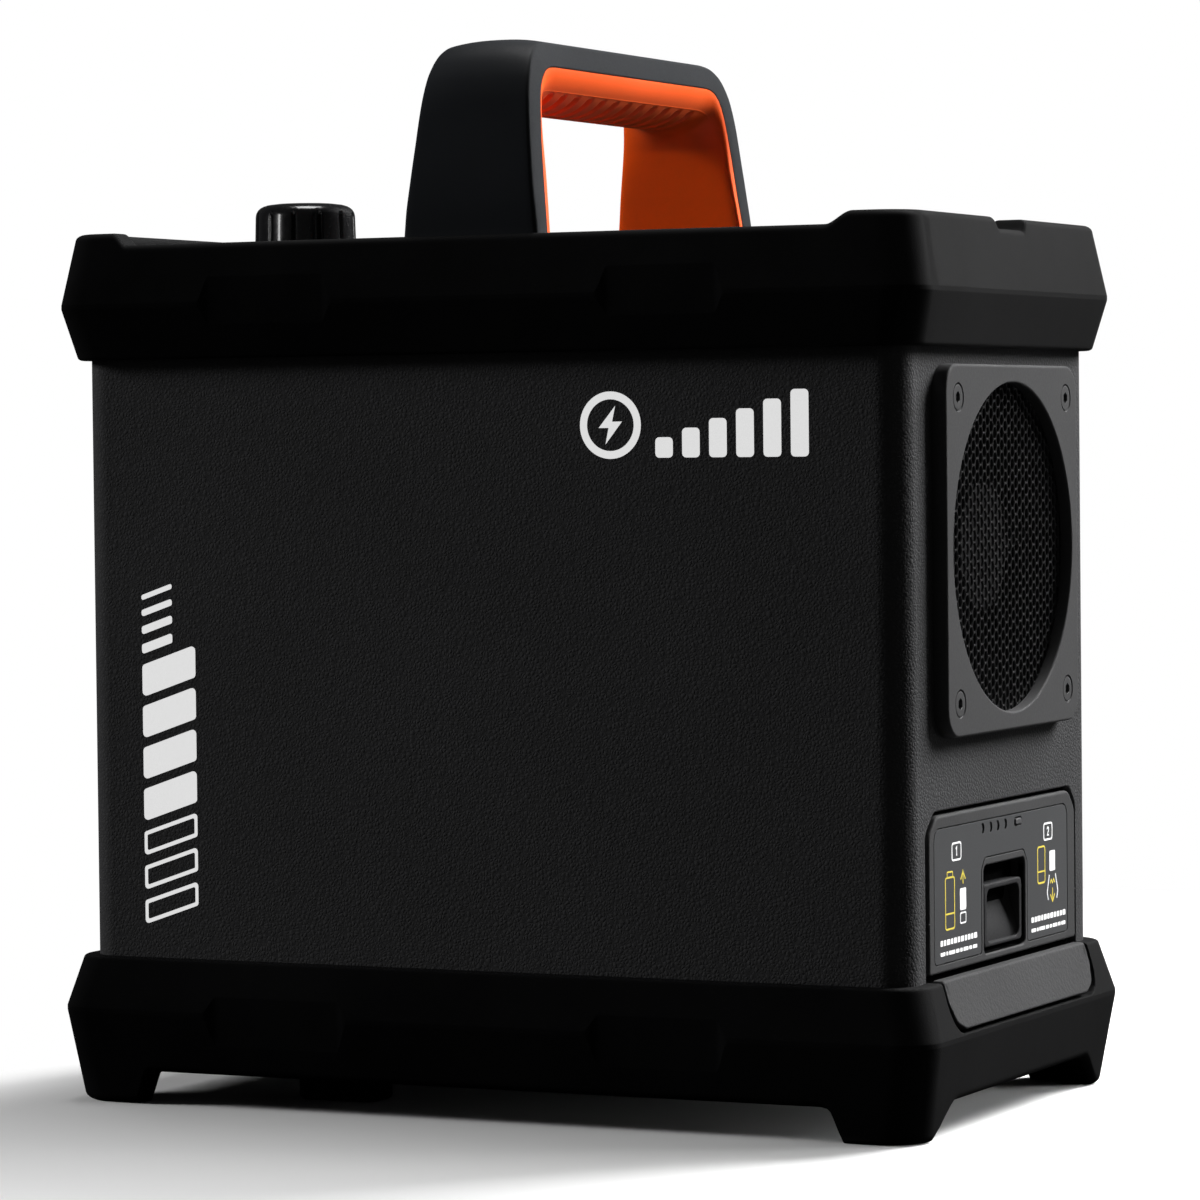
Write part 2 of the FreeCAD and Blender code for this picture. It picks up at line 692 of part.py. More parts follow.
def cell_holders():
    radius = dim.cell_rad.value + 0.05
    plates = []
    for y in (-37.0, 15.0):
        plate = Part.makeBox(187.0, 5.0, 40.4, Vector(-79.2, y, 35.6))
        holes = [Part.makeCylinder(radius, 7, Vector(CELL_X + dim.cell_pitch.value * i, y - 1, z),
                                   Vector(0, 1, 0))
                 for i in range(CELL_COLUMNS) for z in CELL_ROWS]
        plates.append(plate.cut(holes))
    return computed_group(plates)


def battery_board():
    """Upright board with four blocks on its +Y face."""
    return fuse(box(-84.0, 104.0, 27.0, 28.6, 35.0, 76.0),
                box(-60.0, -44.0, 28.5, 34.0, 44.0, 60.0),
                box(-30.0, -14.0, 28.5, 34.0, 44.0, 60.0),
                box(10.0, 40.0, 28.5, 32.0, 40.0, 68.0),
                box(60.0, 96.0, 28.5, 31.0, 50.0, 72.0))


def battery_terminals():
    return group([cut(box(-88.5, -80.0, y - 2.0, y + 2.0, 46.5, 61.5),
                      box(-89.5, -81.2, y - 0.62, y + 0.62, 45.0, 63.0)) for y in TERMINAL_Y])


def battery_pull_bar():
    """Bar that fills the recess in the bumper facet."""
    body = new_body("PullBar")
    low = RECESS_LOW + 0.6
    outline = bar_outline(RECESS_HALF - 0.6, low, 7.4, 2.1, dim.bb_hi - 0.3)
    pad(body, "YZ", dim.bat_face + 0.3, outline, 8.0)
    # outer face follows the slope of the bumper facet
    slope = (RIDGE_X - LIP_X) / (dim.bb_hi - dim.bb_ridge)
    face_x, cut_low = LIP_X + 0.1, 26.0
    pocket(body, "XZ", FAR_Y, polygon([
        (face_x, dim.bb_hi), (face_x + slope * (dim.bb_hi - cut_low), cut_low),
        (RIDGE_X + 6, cut_low), (RIDGE_X + 6, dim.bb_hi)]))
    fillet(body, 0.8, lambda edge: abs(middle(edge).x) > 121.2)
    return body


def pull_rods():
    return group([cylinder(ROD_BACK, side * dim.rod_y, dim.rod_z, 2.5, 47.7, "X")
                  for side in (-1, 1)])


# ---------------------------------------------------------------------------
# Vent and fan on the +X end
# ---------------------------------------------------------------------------
VENT_FACE = HALF_X + dim.vent_thk
AXIS_Z = dim.vent_z.value
FAN_BACK, FAN_FRONT = 91.2, 116.9
FAN_BORE = 43.6
FAN_HUB = 17
SHAFT_BORE = 1.57
ALONG_X = Vector(1, 0, 0)


def vent_plate():
    body = new_body("VentPlate")
    half = dim.vent_side / 2
    pad(body, "YZ", HALF_X, rectangle(-half, half, dim.vent_z - half, dim.vent_z + half),
        dim.vent_thk)
    fillet(body, 7.5, lambda edge: edge.Length < 5
           and abs(abs(middle(edge).y) - half.value) < 0.01)
    pocket(body, "YZ", HALF_X + 10, circles([(0, dim.vent_z, dim.vent_open)]))
    # seat of the mesh in the rear face
    pocket(body, "YZ", HALF_X - 1, circles([(0, dim.vent_z, dim.vent_open + 1.9)]), 1.7,
           reverse=True)
    fillet(body, 1.1, lambda edge: abs(middle(edge).x - VENT_FACE.value) < 0.01)
    for y, z in VENT_CORNERS:
        pocket(body, "YZ", HALF_X + 10, circles([(y, z, SCREW_BORE)]))
    return cut(body, *[cone(VENT_FACE - 2.0, y, z, SCREW_BORE, 3.65, 2.05, "X")
                       for y, z in VENT_CORNERS])


def vent_mesh():
    """Disc of 0.6 sheet with a field of hexagonal holes."""
    pitch, web = 7.4, 1.3
    x = HALF_X.value
    opening = dim.vent_open.value
    radius = opening + 1.7
    rim = Part.Wire([Part.makeCircle(radius, Vector(x, 0, AXIS_Z), ALONG_X)])
    holes = []
    for i in range(-8, 9):
        for j in range(-9, 10):
            y = i * pitch * 0.866
            z = j * pitch + (pitch / 2 if i % 2 else 0)
            if math.hypot(y, z) < opening - 2.6:
                holes.append(hexagon(Vector(x, y, AXIS_Z + z), pitch - web, "X"))
    disc = Part.Face([rim] + holes)
    # guards against a face that does not take the inner wires as holes
    if disc.Area > math.pi * radius ** 2 * 0.95:
        disc = Part.Face(rim).cut([Part.Face(wire) for wire in holes])
    return computed(disc.extrude(Vector(0.6, 0, 0)).Solids[0])


def vent_screws():
    x = VENT_FACE.value - 0.05
    return computed_group([
        flat_screw(Vector(x, y.value, z.value), Vector(-1, 0, 0), head_rad=3.4, head_height=1.85,
                   shank_rad=1.5, length=16.0, key=2.0) for y, z in VENT_CORNERS])


def fan_frame():
    def disc(offset, radius, length):
        return cylinder(FAN_BACK + offset, 0, dim.vent_z, radius, length, "X")

    def bar(half_y, half_z):
        return box(FAN_BACK, FAN_BACK + 3.2, -half_y, half_y,
                   dim.vent_z - half_z, dim.vent_z + half_z)

    block = box(FAN_BACK, FAN_FRONT, -46, 46, dim.vent_z - 46, dim.vent_z + 46)
    bore = disc(3.0, FAN_BORE, 30)
    # rear openings between the spokes, outside the motor cup
    rear = cut(disc(-1, FAN_BORE, 4.2), fuse(bar(44, 2.5), bar(2.5, 44)), disc(-2, FAN_HUB, 6))
    screw_holes = [cylinder(FAN_BACK - 1, y, z, SCREW_BORE, 30, "X") for y, z in VENT_CORNERS]
    shell = cut(block, bore, rear, *screw_holes)
    cup = cut(disc(0, FAN_HUB, 6.0), disc(-1, SHAFT_BORE, 9))
    return cut(fuse(shell, cup), disc(-1, SHAFT_BORE, 9))


def fan_rotor():
    blade_count, blade_x, blade_turn = 9, 105.8, 38
    hub = Part.makeCylinder(16.5, 16.5, Vector(97.6, 0, AXIS_Z), ALONG_X)
    shaft = Part.makeCylinder(1.5, 6.5, Vector(91.4, 0, AXIS_Z), ALONG_X)
    blades = []
    for k in range(blade_count):
        blade = Part.makeBox(16.0, 1.5, 27.0, Vector(-8.0, -0.75, 15.2))
        blade.rotate(Vector(0, 0, 0), Vector(0, 0, 1), blade_turn)
        blade.translate(Vector(blade_x, 0, AXIS_Z))
        blade.rotate(Vector(blade_x, 0, AXIS_Z), ALONG_X, 360.0 / blade_count * k)
        blades.append(blade)
    rotor = hub.fuse([shaft] + blades).removeSplitter()
    # trim the blade tips to a cylinder
    limit = Part.makeCylinder(42.6, 40, Vector(85, 0, AXIS_Z), ALONG_X)
    return computed(rotor.common(limit).Solids[0])


# ---------------------------------------------------------------------------
# Control panel with dial, display, buttons and sockets
# ---------------------------------------------------------------------------
PANEL_TOP = dim.sleeve_hi
PANEL_LOW = PANEL_TOP - dim.panel_thk
ABOVE_PANEL = PANEL_TOP + 1
BUTTONS = {"menu_button": (-97.0, -30.0), "mode_button": (-76.0, -30.0),
           "sync_button": (-97.0, 30.0), "lamp_button": (-76.0, 30.0),
           "power_button": (-86.5, -46.0), "test_button": (-86.5, 46.0)}
BUTTON_LOW = 217.4
POSTS = [(-106, -53), (-106, 53), (106, -53), (106, 53)]
STATUS_LEDS = [(-109.0, 9.0), (-109.0, -9.0)]
RELEASE_Y = 36.0
SYNC_X, SYNC_Y = 34.0, -42.0
USB_X, USB_Y = 66.0, -44.5
LCD_X = -45.0
BOARD_LOW, BOARD_TOP = 206.0, 207.6
PIN_CIRCLE = 10.5   # radius of the ring of socket contacts
PINS = [(0.0, 0.0)] + [(PIN_CIRCLE * math.cos(math.radians(60 * k)),
                        PIN_CIRCLE * math.sin(math.radians(60 * k))) for k in range(6)]


def control_panel():
    body = new_body("ControlPanel")
    pad(body, "XY", PANEL_LOW, rounded(INNER_X - 0.1, INNER_Y - 0.1, INNER_RAD - 0.1),
        dim.panel_thk)
    round_holes = [(dim.knob_x, 0, 4.9)]
    round_holes += [(x, y, dim.btn_rad + 0.15) for x, y in BUTTONS.values()]
    round_holes += [(dim.socket_x, 0, 22.1), (dim.socket_x, RELEASE_Y, 5.1),
                    (SYNC_X, SYNC_Y, 5.05)]
    round_holes += [(x, y, 1.55) for x, y in STATUS_LEDS]
    round_holes += [(x, y, SCREW_BORE) for x, y in POSTS]
    usb_hole = rectangle(USB_X - 7.7, USB_X + 7.7, USB_Y - 3.7, USB_Y + 3.7)
    lcd_hole = rectangle(LCD_X - 15, LCD_X + 15, -28.0, 28.0)
    pocket(body, "XY", ABOVE_PANEL, several(circles(round_holes), usb_hole, lcd_hole))
    # seat of the display window
    pocket(body, "XY", ABOVE_PANEL, rectangle(LCD_X - 18.2, LCD_X + 18.2, -31.2, 31.2), 2.4)
    # edge notches for the handle tongues
    for side in (-1, 1):
        pocket(body, "XY", ABOVE_PANEL, rectangle(-16.6, 16.6, side * 59.8, side * 66.0))
    return cut(body, *[cone(x, y, PANEL_TOP - 1.6, SCREW_BORE, 3.3, 1.7) for x, y in POSTS])


def panel_screws():
    z = PANEL_TOP.value - 0.05
    return computed_group([
        flat_screw(Vector(x, y, z), Vector(0, 0, -1), head_rad=3.05, head_height=1.55,
                   shank_rad=1.5, length=12.0, key=2.0) for x, y in POSTS])


def corner_posts():
    """The -X posts stand on the base plate, the +X posts on the deck."""
    posts = []
    for x, y in POSTS:
        foot = PLATE_TOP if x < 0 else dim.deck_z
        posts.append(cut(box(x - 3.5, x + 3.5, y - 3.5, y + 3.5, foot, PANEL_LOW),
                         cylinder(x, y, PANEL_TOP - 12.4, 1.55, 12.4)))
    return group(posts)


def dial_knob():
    """Revolved knob with twelve flutes."""
    rad, top = dim.knob_rad, dim.knob_top
    section = polygon([(3.0, 223.0), (rad, 223.0), (rad + 0.15, 224.2), (rad - 0.7, top - 2.4),
                       (rad - 2.1, top - 1.0), (rad - 6.0, top - 0.2), (0, top), (0, 238.0),
                       (3.0, 238.0)])
    body = new_body("DialKnob")
    sketch = new_sketch(body, "XZ", 0, section)
    doc.recompute()
    feature = body.newObject("PartDesign::Revolution", unique_name("Revolution"))
    feature.Profile = sketch
    feature.ReferenceAxis = (sketch, ["V_Axis"])
    feature.Angle = 360
    doc.recompute()
    body.Placement = FreeCAD.Placement(Vector(dim.knob_x.value, 0, 0), FreeCAD.Rotation())
    bind(body, "Placement.Base.x", dim.knob_x)
    doc.recompute()
    flute_circle, flute_low = 15.35, 224.6
    flutes = []
    for k in range(12):
        degrees = 30 * k + 15
        angle = math.radians(degrees)
        flute = box(0, 1.8, 0, 1.5, 0, 15.6)
        corner = Vector(dim.knob_x.value + flute_circle * math.cos(angle),
                        flute_circle * math.sin(angle), flute_low)
        flute.Placement = FreeCAD.Placement(corner, FreeCAD.Rotation(Vector(0, 0, 1), degrees))
        flutes.append(flute)
    return cut(body, *flutes)


def dial_shaft():
    return cylinder(dim.knob_x, 0, 209.0, 3.0, 29.0)


def dial_encoder():
    x = dim.knob_x
    return cut(fuse(box(x - 7, x + 7, -7, 7, 207.8, 216.4), cylinder(x, 0, 216.0, 4.8, 6.2)),
               cylinder(x, 0, 208.6, 3.05, 16))


def lcd_window():
    return box(LCD_X - 18, LCD_X + 18, -31.0, 31.0, PANEL_TOP - 1.4, PANEL_TOP + 0.3)


def lcd_module():
    return fuse(box(LCD_X - 17, LCD_X + 17, -30.0, 30.0, 213.2, 218.4),
                box(LCD_X - 14.5, LCD_X + 14.5, -27.5, 27.5, 218.3, 220.4))


def control_board():
    """Board with a switch block under each button and four spacers up to the panel."""
    items = [box(-111.0, -23.0, -48.0, 48.0, BOARD_LOW, BOARD_TOP)]
    base = BOARD_TOP - 0.1
    for x, y in BUTTONS.values():
        items.append(box(x - 3.5, x + 3.5, y - 3.5, y + 3.5, base, 214.9))
    for x, y in ((-108, -22), (-108, 22), (-25.8, -40), (-25.8, 40)):
        items.append(cylinder(x, y, base, 2.2, PANEL_LOW - base))
    return fuse(*items)


def button(x, y):
    """Round button with a wider collar under the panel."""
    return fuse(cylinder(x, y, BUTTON_LOW, dim.btn_rad, PANEL_TOP + 2.0 - BUTTON_LOW),
                cylinder(x, y, 216.3, 6.2, 2.0))


def status_leds():
    return group([cylinder(x, y, 216.5, 1.5, 5.9) for x, y in STATUS_LEDS])


def head_socket():
    x = dim.socket_x
    barrel = fuse(cylinder(x, 0, PANEL_TOP - 30, 22, 30.5), cylinder(x, 0, PANEL_TOP, 25.5, 3.0))
    socket = cut(barrel, cylinder(x, 0, PANEL_TOP + 3.0 - dim.socket_depth, dim.socket_bore,
                                  dim.socket_depth + 1))
    return cut(socket, *[cylinder(x + pin_x, pin_y, PANEL_TOP - 33, 2.12, 20)
                         for pin_x, pin_y in PINS])


def socket_contacts():
    """Female sleeves sunk just below the socket floor, which leaves the bore clear."""
    sleeves = []
    for pin_x, pin_y in PINS:
        x = dim.socket_x + pin_x
        sleeves.append(cut(cylinder(x, pin_y, PANEL_TOP - 31.5, 2.1, 9.3),
                           cylinder(x, pin_y, PANEL_TOP - 30.0, 1.6, 9.0)))
    return group(sleeves)


def socket_release():
    x = dim.socket_x
    return fuse(cylinder(x, RELEASE_Y, BUTTON_LOW, 4.95, PANEL_TOP + 3.6 - BUTTON_LOW),
                cylinder(x, RELEASE_Y, 216.0, 6.2, 2.3))


def sync_jack():
    return cut(fuse(cylinder(SYNC_X, SYNC_Y, 204.0, 5.0, 18.0),
                    cylinder(SYNC_X, SYNC_Y, PANEL_TOP, 6.2, 1.4)),
               cylinder(SYNC_X, SYNC_Y, PANEL_TOP + 1.4 - 15, dim.sync_bore, 16))


def usb_port():
    """Open shell, with a closed slit below the floor of its cavity."""
    return cut(box(USB_X - 7.5, USB_X + 7.5, USB_Y - 3.5, USB_Y + 3.5, BOARD_LOW, PANEL_TOP),
               box(USB_X - 6.2, USB_X + 6.2, USB_Y - 2.4, USB_Y + 2.4, 209.0, ABOVE_PANEL),
               box(USB_X - 5.4, USB_X + 5.4, -45.6, -44.6, 208.0, 208.5))


def port_cover():
    """Flap over the port with a round bar along its -Y edge."""
    return fuse(box(USB_X - 10.5, USB_X + 10.5, -51.2, -38.0, PANEL_TOP + 0.15, PANEL_TOP + 2.3),
                cylinder(USB_X - 9, -51.6, PANEL_TOP + 1.3, 1.15, 18.0, "X"))


# ---------------------------------------------------------------------------
# Handle: strap across the pack with tongues bolted inside the sleeve
# ---------------------------------------------------------------------------
# +Y half of the strap and grip outlines, from the rim up: y, z
STRAP_OUTER = [(68.6, 229.75), (68.6, 236.3), (68.1, 243.3), (66.9, 253.2), (65.6, 262.0),
               (64.4, 267.0), (62.5, 271.8), (59.4, 275.9), (55.2, 278.7), (48.5, 279.8)]
STRAP_INNER = [(62.3, 229.75), (61.8, 236.3), (60.9, 243.3), (59.8, 253.2), (58.5, 262.0),
               (57.3, 266.6), (54.9, 270.2), (51.6, 272.6), (47.6, 273.3)]
GRIP_INNER = [(59.95, 230.0), (59.35, 236.3), (58.4, 243.3), (57.2, 253.2), (55.6, 258.6),
              (51.0, 261.4), (44.0, 262.2)]
# taper of the strap seen along Y: z, half width
STRAP_TAPER = [(229.0, 19.0), (236.3, 18.3), (243.3, 17.4), (253.2, 16.3), (263.1, 15.1),
               (271.5, 13.9), (277.0, 12.6), (281.0, 10.8)]


def taper_sides(body, inset):
    low, top = STRAP_TAPER[0][0], STRAP_TAPER[-1][0]
    for side in (-1, 1):
        edge = [(side * (half - inset), z) for z, half in STRAP_TAPER]
        pocket(body, "XZ", FAR_Y, polygon(edge + [(side * 25.0, top), (side * 25.0, low)]))


def handle_frame():
    body = new_body("HandleFrame")
    outline = (mirror(STRAP_OUTER) + STRAP_OUTER[::-1]
               + STRAP_INNER + mirror(STRAP_INNER[::-1]))
    # points above z 240 keep their distance from the handle top
    top = dim.handle_top
    outline = [(y, top - (top.value - z) if z > 240 else z) for y, z in outline]
    pad(body, "YZ", -21.0, polygon(outline), 42.0)
    taper_sides(body, 0)

    def outer_edge(edge):
        at = middle(edge)
        return at.z > 279.7 or (230.5 < at.z < 262 and abs(at.x) > 12 and edge.Length > 5
                                and abs(at.y) > 64.9)

    fillet(body, 1.8, outer_edge)
    # tongues
    for side in (-1, 1):
        pad(body, "XY", 198.0, rectangle(-15.8, 15.8, side * 60.2, side * 64.2), 31.95)
    pocket(body, "XZ", FAR_Y, handle_screw_holes(2.0))
    return body


def handle_screws():
    pitch, z = dim.handle_screw_x.value, dim.handle_screw_z.value
    return computed_group([
        cap_screw(Vector(x, side * 66.3, z), Vector(0, -side, 0), head_rad=3.75,
                  head_height=2.05, shank_rad=1.98, length=6.0, key=2.5)
        for side in (-1, 1) for x in (-pitch, pitch)])


def handle_grip():
    """Liner along the inside of the strap, a small gap away from it."""
    body = new_body("HandleGrip")
    gap = 0.02
    outer = [(STRAP_INNER[0][0] - gap, GRIP_INNER[0][1])]
    outer += [(y - gap, z - (gap if z > 262 else 0)) for y, z in STRAP_INNER[1:]]
    pad(body, "YZ", -20.0,
        polygon(mirror(GRIP_INNER) + GRIP_INNER[::-1] + outer + mirror(outer[::-1])), 40.0)
    taper_sides(body, 0.1)
    return body


# ---------------------------------------------------------------------------
# Electronics on the deck
# ---------------------------------------------------------------------------
DECK = dim.deck_z
CANS = [(x, y) for y in (-26.0, 26.0) for x in (-86.0, -40.0, 6.0)]
CAN_TOP = DECK + dim.can_len
CHARGER_TOP = 89.6


def capacitor_bank():
    return group([cylinder(x, y, DECK, dim.can_rad, dim.can_len) for x, y in CANS])


def capacitor_bracket():
    """Plate round the cans, on four legs."""
    plate = cut(box(-111.0, 33.0, -48.8, 48.8, 122.0, 126.0),
                *[cylinder(x, y, 121.0, dim.can_rad + 0.1, 6) for x, y in CANS])
    return fuse(plate, *[box(x - 3, x + 3, y - 3, y + 3, DECK, 122.5)
                         for x, y in ((-63, 0), (-17, 0), (29.5, -44), (29.5, 44))])


def capacitor_busbars():
    return group([box(-98.0, 18.0, y - 6, y + 6, CAN_TOP, CAN_TOP + 2.0) for y in (-26.0, 26.0)])


def heat_sink():
    """Finned plate on four legs."""
    items = [box(40.0, 86.0, -54.0, 54.0, 112.0, 117.0)]
    for k in range(12):
        y = -52.0 + 9.1 * k
        items.append(box(40.0, 86.0, y, y + 1.6, 116.5, 180.0))
    for x in (41.0, 80.0):
        for y in (-54.0, 50.0):
            items.append(box(x, x + 5, y, y + 4, DECK, 112.5))
    return fuse(*items)


def switch_module():
    return fuse(box(48.0, 78.0, -26.0, 26.0, 104.0, 112.0), box(52.0, 56.0, -20.0, 20.0, 102.0, 104.5))


def charger_board():
    return fuse(box(36.0, 89.0, -47.0, 47.0, 88.0, CHARGER_TOP),
                *[cylinder(x, y, DECK, 2.5, 4.0) for x in (40.0, 85.0) for y in (-43.0, 43.0)])


def transformer():
    """Core with two windows, and the winding round its middle limb."""
    core = cut(box(44.0, 76.0, -15.0, 15.0, CHARGER_TOP, 101.6),
               box(49.0, 55.0, -10.0, 10.0, 88.0, 103.0),
               box(65.0, 71.0, -10.0, 10.0, 88.0, 103.0))
    return fuse(core, box(54.6, 65.4, -12.0, 12.0, CHARGER_TOP, 101.4))


def output_cables():
    """Leads from under the flash-head socket to the capacitor busbars."""
    x, socket_low, run_z = dim.socket_x.value + 4, PANEL_TOP.value - 30.05, 185.5
    cables = []
    for side in (-1, 1):
        cables.append(cable([(x, side * 14.5, socket_low), (x, side * 14.5, run_z),
                             (34.0, side * 20.0, run_z), (12.0, side * 26.0, run_z),
                             (12.0, side * 26.0, CAN_TOP.value + 2.05)], radius=2.0, bend=3.0))
    return computed_group(cables)


def power_cables():
    """Leads from the bay contacts up the -X wall, then along the +Y wall to the charger."""
    wall_x, wall_y = -113.2, 60.3
    cables = []
    for y, z, end_x in ((6.0, 56.0, 60.0), (-6.0, 50.0, 74.0)):
        run_z = z + 41.0
        cables.append(cable([(-95.55, y, z), (wall_x, y, z), (wall_x, wall_y, z + 20.0),
                             (-94.0, wall_y, run_z), (end_x, wall_y, run_z),
                             (end_x, 38.0, run_z), (end_x, 38.0, CHARGER_TOP + 0.05)],
                            radius=1.8, bend=2.4))
    return computed_group(cables)


# ---------------------------------------------------------------------------
# Build, check and write; each piece takes the name of its function
# ---------------------------------------------------------------------------
BUILDERS = [
    housing_shell, top_bumper, bottom_bumper, base_plate, base_screws, base_pads,
    battery_bay, bay_contacts, battery_case, battery_front_panel, battery_label, charge_leds,
    battery_test_button, battery_latch, latch_spring, battery_cells, cell_holders,
    battery_board, battery_terminals, battery_pull_bar, pull_rods,
    vent_plate, vent_mesh, vent_screws, fan_frame, fan_rotor,
    control_panel, panel_screws, corner_posts, dial_knob, dial_shaft, dial_encoder,
    lcd_window, lcd_module, control_board, status_leds, head_socket, socket_contacts,
    socket_release, sync_jack, usb_port, port_cover,
    handle_frame, handle_screws, handle_grip,
    capacitor_bank, capacitor_bracket, capacitor_busbars, heat_sink, switch_module,
    charger_board, transformer, output_cables, power_cables,
]
pieces = []
for build in BUILDERS:
    piece = build()
    piece.Label = build.__name__
    pieces.append(piece)
for name, (x, y) in BUTTONS.items():
    piece = button(x, y)
    piece.Label = name
    pieces.append(piece)
doc.recompute()

problems = ["%s %s" % (obj.Label, obj.State) for obj in doc.Objects if faulty(obj)]
for piece in pieces:
    if piece.Shape.isNull() or not piece.Shape.isValid() or not piece.Shape.Solids:
        problems.append("shape of %s" % piece.Label)
if problems:
    raise RuntimeError("; ".join(problems))
for old in os.listdir("parts"):
    if old.endswith(".step"):
        os.remove(os.path.join("parts", old))
for piece in pieces:
    piece.Shape.exportStep(os.path.join("parts", piece.Label + ".step"))
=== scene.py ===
# A portable power pack: a coated sleeve between two rubber bumpers, a handle over the top,
# a control panel on top with its dial towards -X, and a round vent above a battery at +X.
# X runs along the length, Y through the depth with the printed front at -Y, and Z is up.
# Shapes are given in millimetres; materials, lights and the camera are in metres.
import math

import bmesh
import bpy
import numpy as np
from mathutils import Matrix, Vector
from mathutils.geometry import tessellate_polygon


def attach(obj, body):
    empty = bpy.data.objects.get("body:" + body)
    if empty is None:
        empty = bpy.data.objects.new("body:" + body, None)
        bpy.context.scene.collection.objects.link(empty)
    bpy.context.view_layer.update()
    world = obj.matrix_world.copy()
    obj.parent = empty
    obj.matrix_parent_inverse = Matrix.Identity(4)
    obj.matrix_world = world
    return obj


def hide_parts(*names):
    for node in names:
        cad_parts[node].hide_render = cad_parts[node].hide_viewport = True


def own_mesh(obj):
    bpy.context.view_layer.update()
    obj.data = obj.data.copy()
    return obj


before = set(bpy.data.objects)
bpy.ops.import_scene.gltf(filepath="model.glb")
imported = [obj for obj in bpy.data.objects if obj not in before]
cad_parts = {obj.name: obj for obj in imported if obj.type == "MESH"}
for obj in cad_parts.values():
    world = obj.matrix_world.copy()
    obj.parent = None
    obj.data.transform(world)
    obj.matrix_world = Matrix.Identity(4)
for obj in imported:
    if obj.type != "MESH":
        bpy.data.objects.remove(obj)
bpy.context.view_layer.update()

MM = 0.001

# Driving sizes
HALF_X, HALF_Y = 119.0, 66.4    # outside of the sleeve
CORNER = 8.0                    # its corner radius
WALL = 2.0
SLEEVE_LOW, PANEL_Z = 12.0, 222.0
VENT_Z = 147.5
DIAL_X = -86.4


# === Shader helpers ===
def feed(tree, socket, value):
    """Links or sets an input. A colour is three numbers."""
    if isinstance(value, bpy.types.NodeSocket):
        tree.links.new(value, socket)
    elif socket.type == "RGBA":
        socket.default_value = (*value, 1.0)
    else:
        socket.default_value = value


def add_node(tree, kind, inputs=None, **settings):
    node = tree.nodes.new("ShaderNode" + kind)
    for key, value in settings.items():
        setattr(node, key, value)
    for key, value in (inputs or {}).items():
        feed(tree, node.inputs[key], value)
    return node


class Graph:
    """One procedural material, textured in the frame's coordinates (metres)."""

    def __init__(self, name):
        self.material = bpy.data.materials.new(name)
        self.material.use_nodes = True
        self.tree = self.material.node_tree
        self.tree.nodes.clear()
        self.output = self.node("OutputMaterial")
        self.shader = self.node("BsdfPrincipled")
        feed(self.tree, self.output.inputs["Surface"], self.shader.outputs[0])
        self.coords = self.node("TexCoord").outputs["Object"]
        self.normal = None

    def node(self, kind, inputs=None, **settings):
        return add_node(self.tree, kind, inputs, **settings)

    def stretched(self, scale):
        return self.node("Mapping", {"Vector": self.coords, "Scale": scale}).outputs[0]

    def noise(self, scale, detail=3.0, rough=0.55, **inputs):
        sockets = {"Vector": self.coords, "Scale": scale, "Detail": detail, "Roughness": rough}
        return self.node("TexNoise", {**sockets, **inputs}).outputs["Fac"]

    def voronoi(self, scale, feature="F1", **inputs):
        sockets = {"Vector": self.coords, "Scale": scale, **inputs}
        return self.node("TexVoronoi", sockets, feature=feature).outputs["Distance"]

    def wave(self, scale, axis, distortion=0.0):
        sockets = {"Vector": self.coords, "Scale": scale, "Distortion": distortion}
        return self.node("TexWave", sockets, bands_direction=axis).outputs["Fac"]

    def calc(self, operation, first, second):
        return self.node("Math", {0: first, 1: second}, operation=operation).outputs[0]

    def remap(self, value, span=(0.3, 0.7), to=(0.0, 1.0)):
        return self.node("MapRange", {
            "Value": value, "From Min": span[0], "From Max": span[1],
            "To Min": to[0], "To Max": to[1]}).outputs["Result"]

    def around(self, value, middle, reach):
        return self.remap(value, to=(middle - reach, middle + reach))

    def mix(self, factor, first, second):
        return self.node("Mix", {0: factor, 6: first, 7: second}, data_type="RGBA").outputs[2]

    def shade(self, factor, color, low, high):
        """Goes between two strengths of one colour."""
        return self.mix(factor, tint(color, low), tint(color, high))

    def worn_and_lit_edges(self, base, pale, wear_and_sheen, span=(0.52, 0.62)):
        """Paler colour along convex edges: partly wear, partly a painted highlight."""
        edge = self.remap(self.node("NewGeometry").outputs["Pointiness"], span)
        return self.mix(self.calc("MULTIPLY", edge, wear_and_sheen), base, pale)

    def bump(self, height, strength, depth):
        inputs = {"Height": height, "Strength": strength, "Distance": depth}
        if self.normal is not None:
            inputs["Normal"] = self.normal
        self.normal = self.node("Bump", inputs).outputs[0]

    def done(self, color, rough, metal=0.0, spec=0.5, **inputs):
        inputs.update(Base_Color=color, Roughness=rough, Metallic=metal,
                      Specular_IOR_Level=spec)
        if self.normal is not None:
            inputs["Normal"] = self.normal
        for key, value in inputs.items():
            feed(self.tree, self.shader.inputs[key.replace("_", " ")], value)
        return self.material


def tint(color, strength):
    return tuple(min(1.0, part * strength) for part in color)


# === Kinds of material ===
def plastic(name, color, rough=0.55, grain=1800, depth=4e-5, strength=0.35, spec=0.45,
            wear_and_sheen=0.35):
    """Moulded plastic: fine grain, cloudy colour, paler edges (part wear, part painted
    highlight).
    """
    g = Graph(name)
    cloud = g.noise(35, detail=4, rough=0.6)
    fine = g.noise(grain, rough=0.6)
    base = g.shade(cloud, color, low=1 - 0.18, high=1 + 0.18)
    base = g.worn_and_lit_edges(base, tint([part + 0.02 for part in color], 1.9), wear_and_sheen)
    g.bump(fine, strength, depth)
    roughness = g.calc("ADD", g.around(fine, middle=0, reach=0.06),
                       g.around(cloud, middle=rough, reach=0.05))
    return g.done(base, roughness, spec=spec)


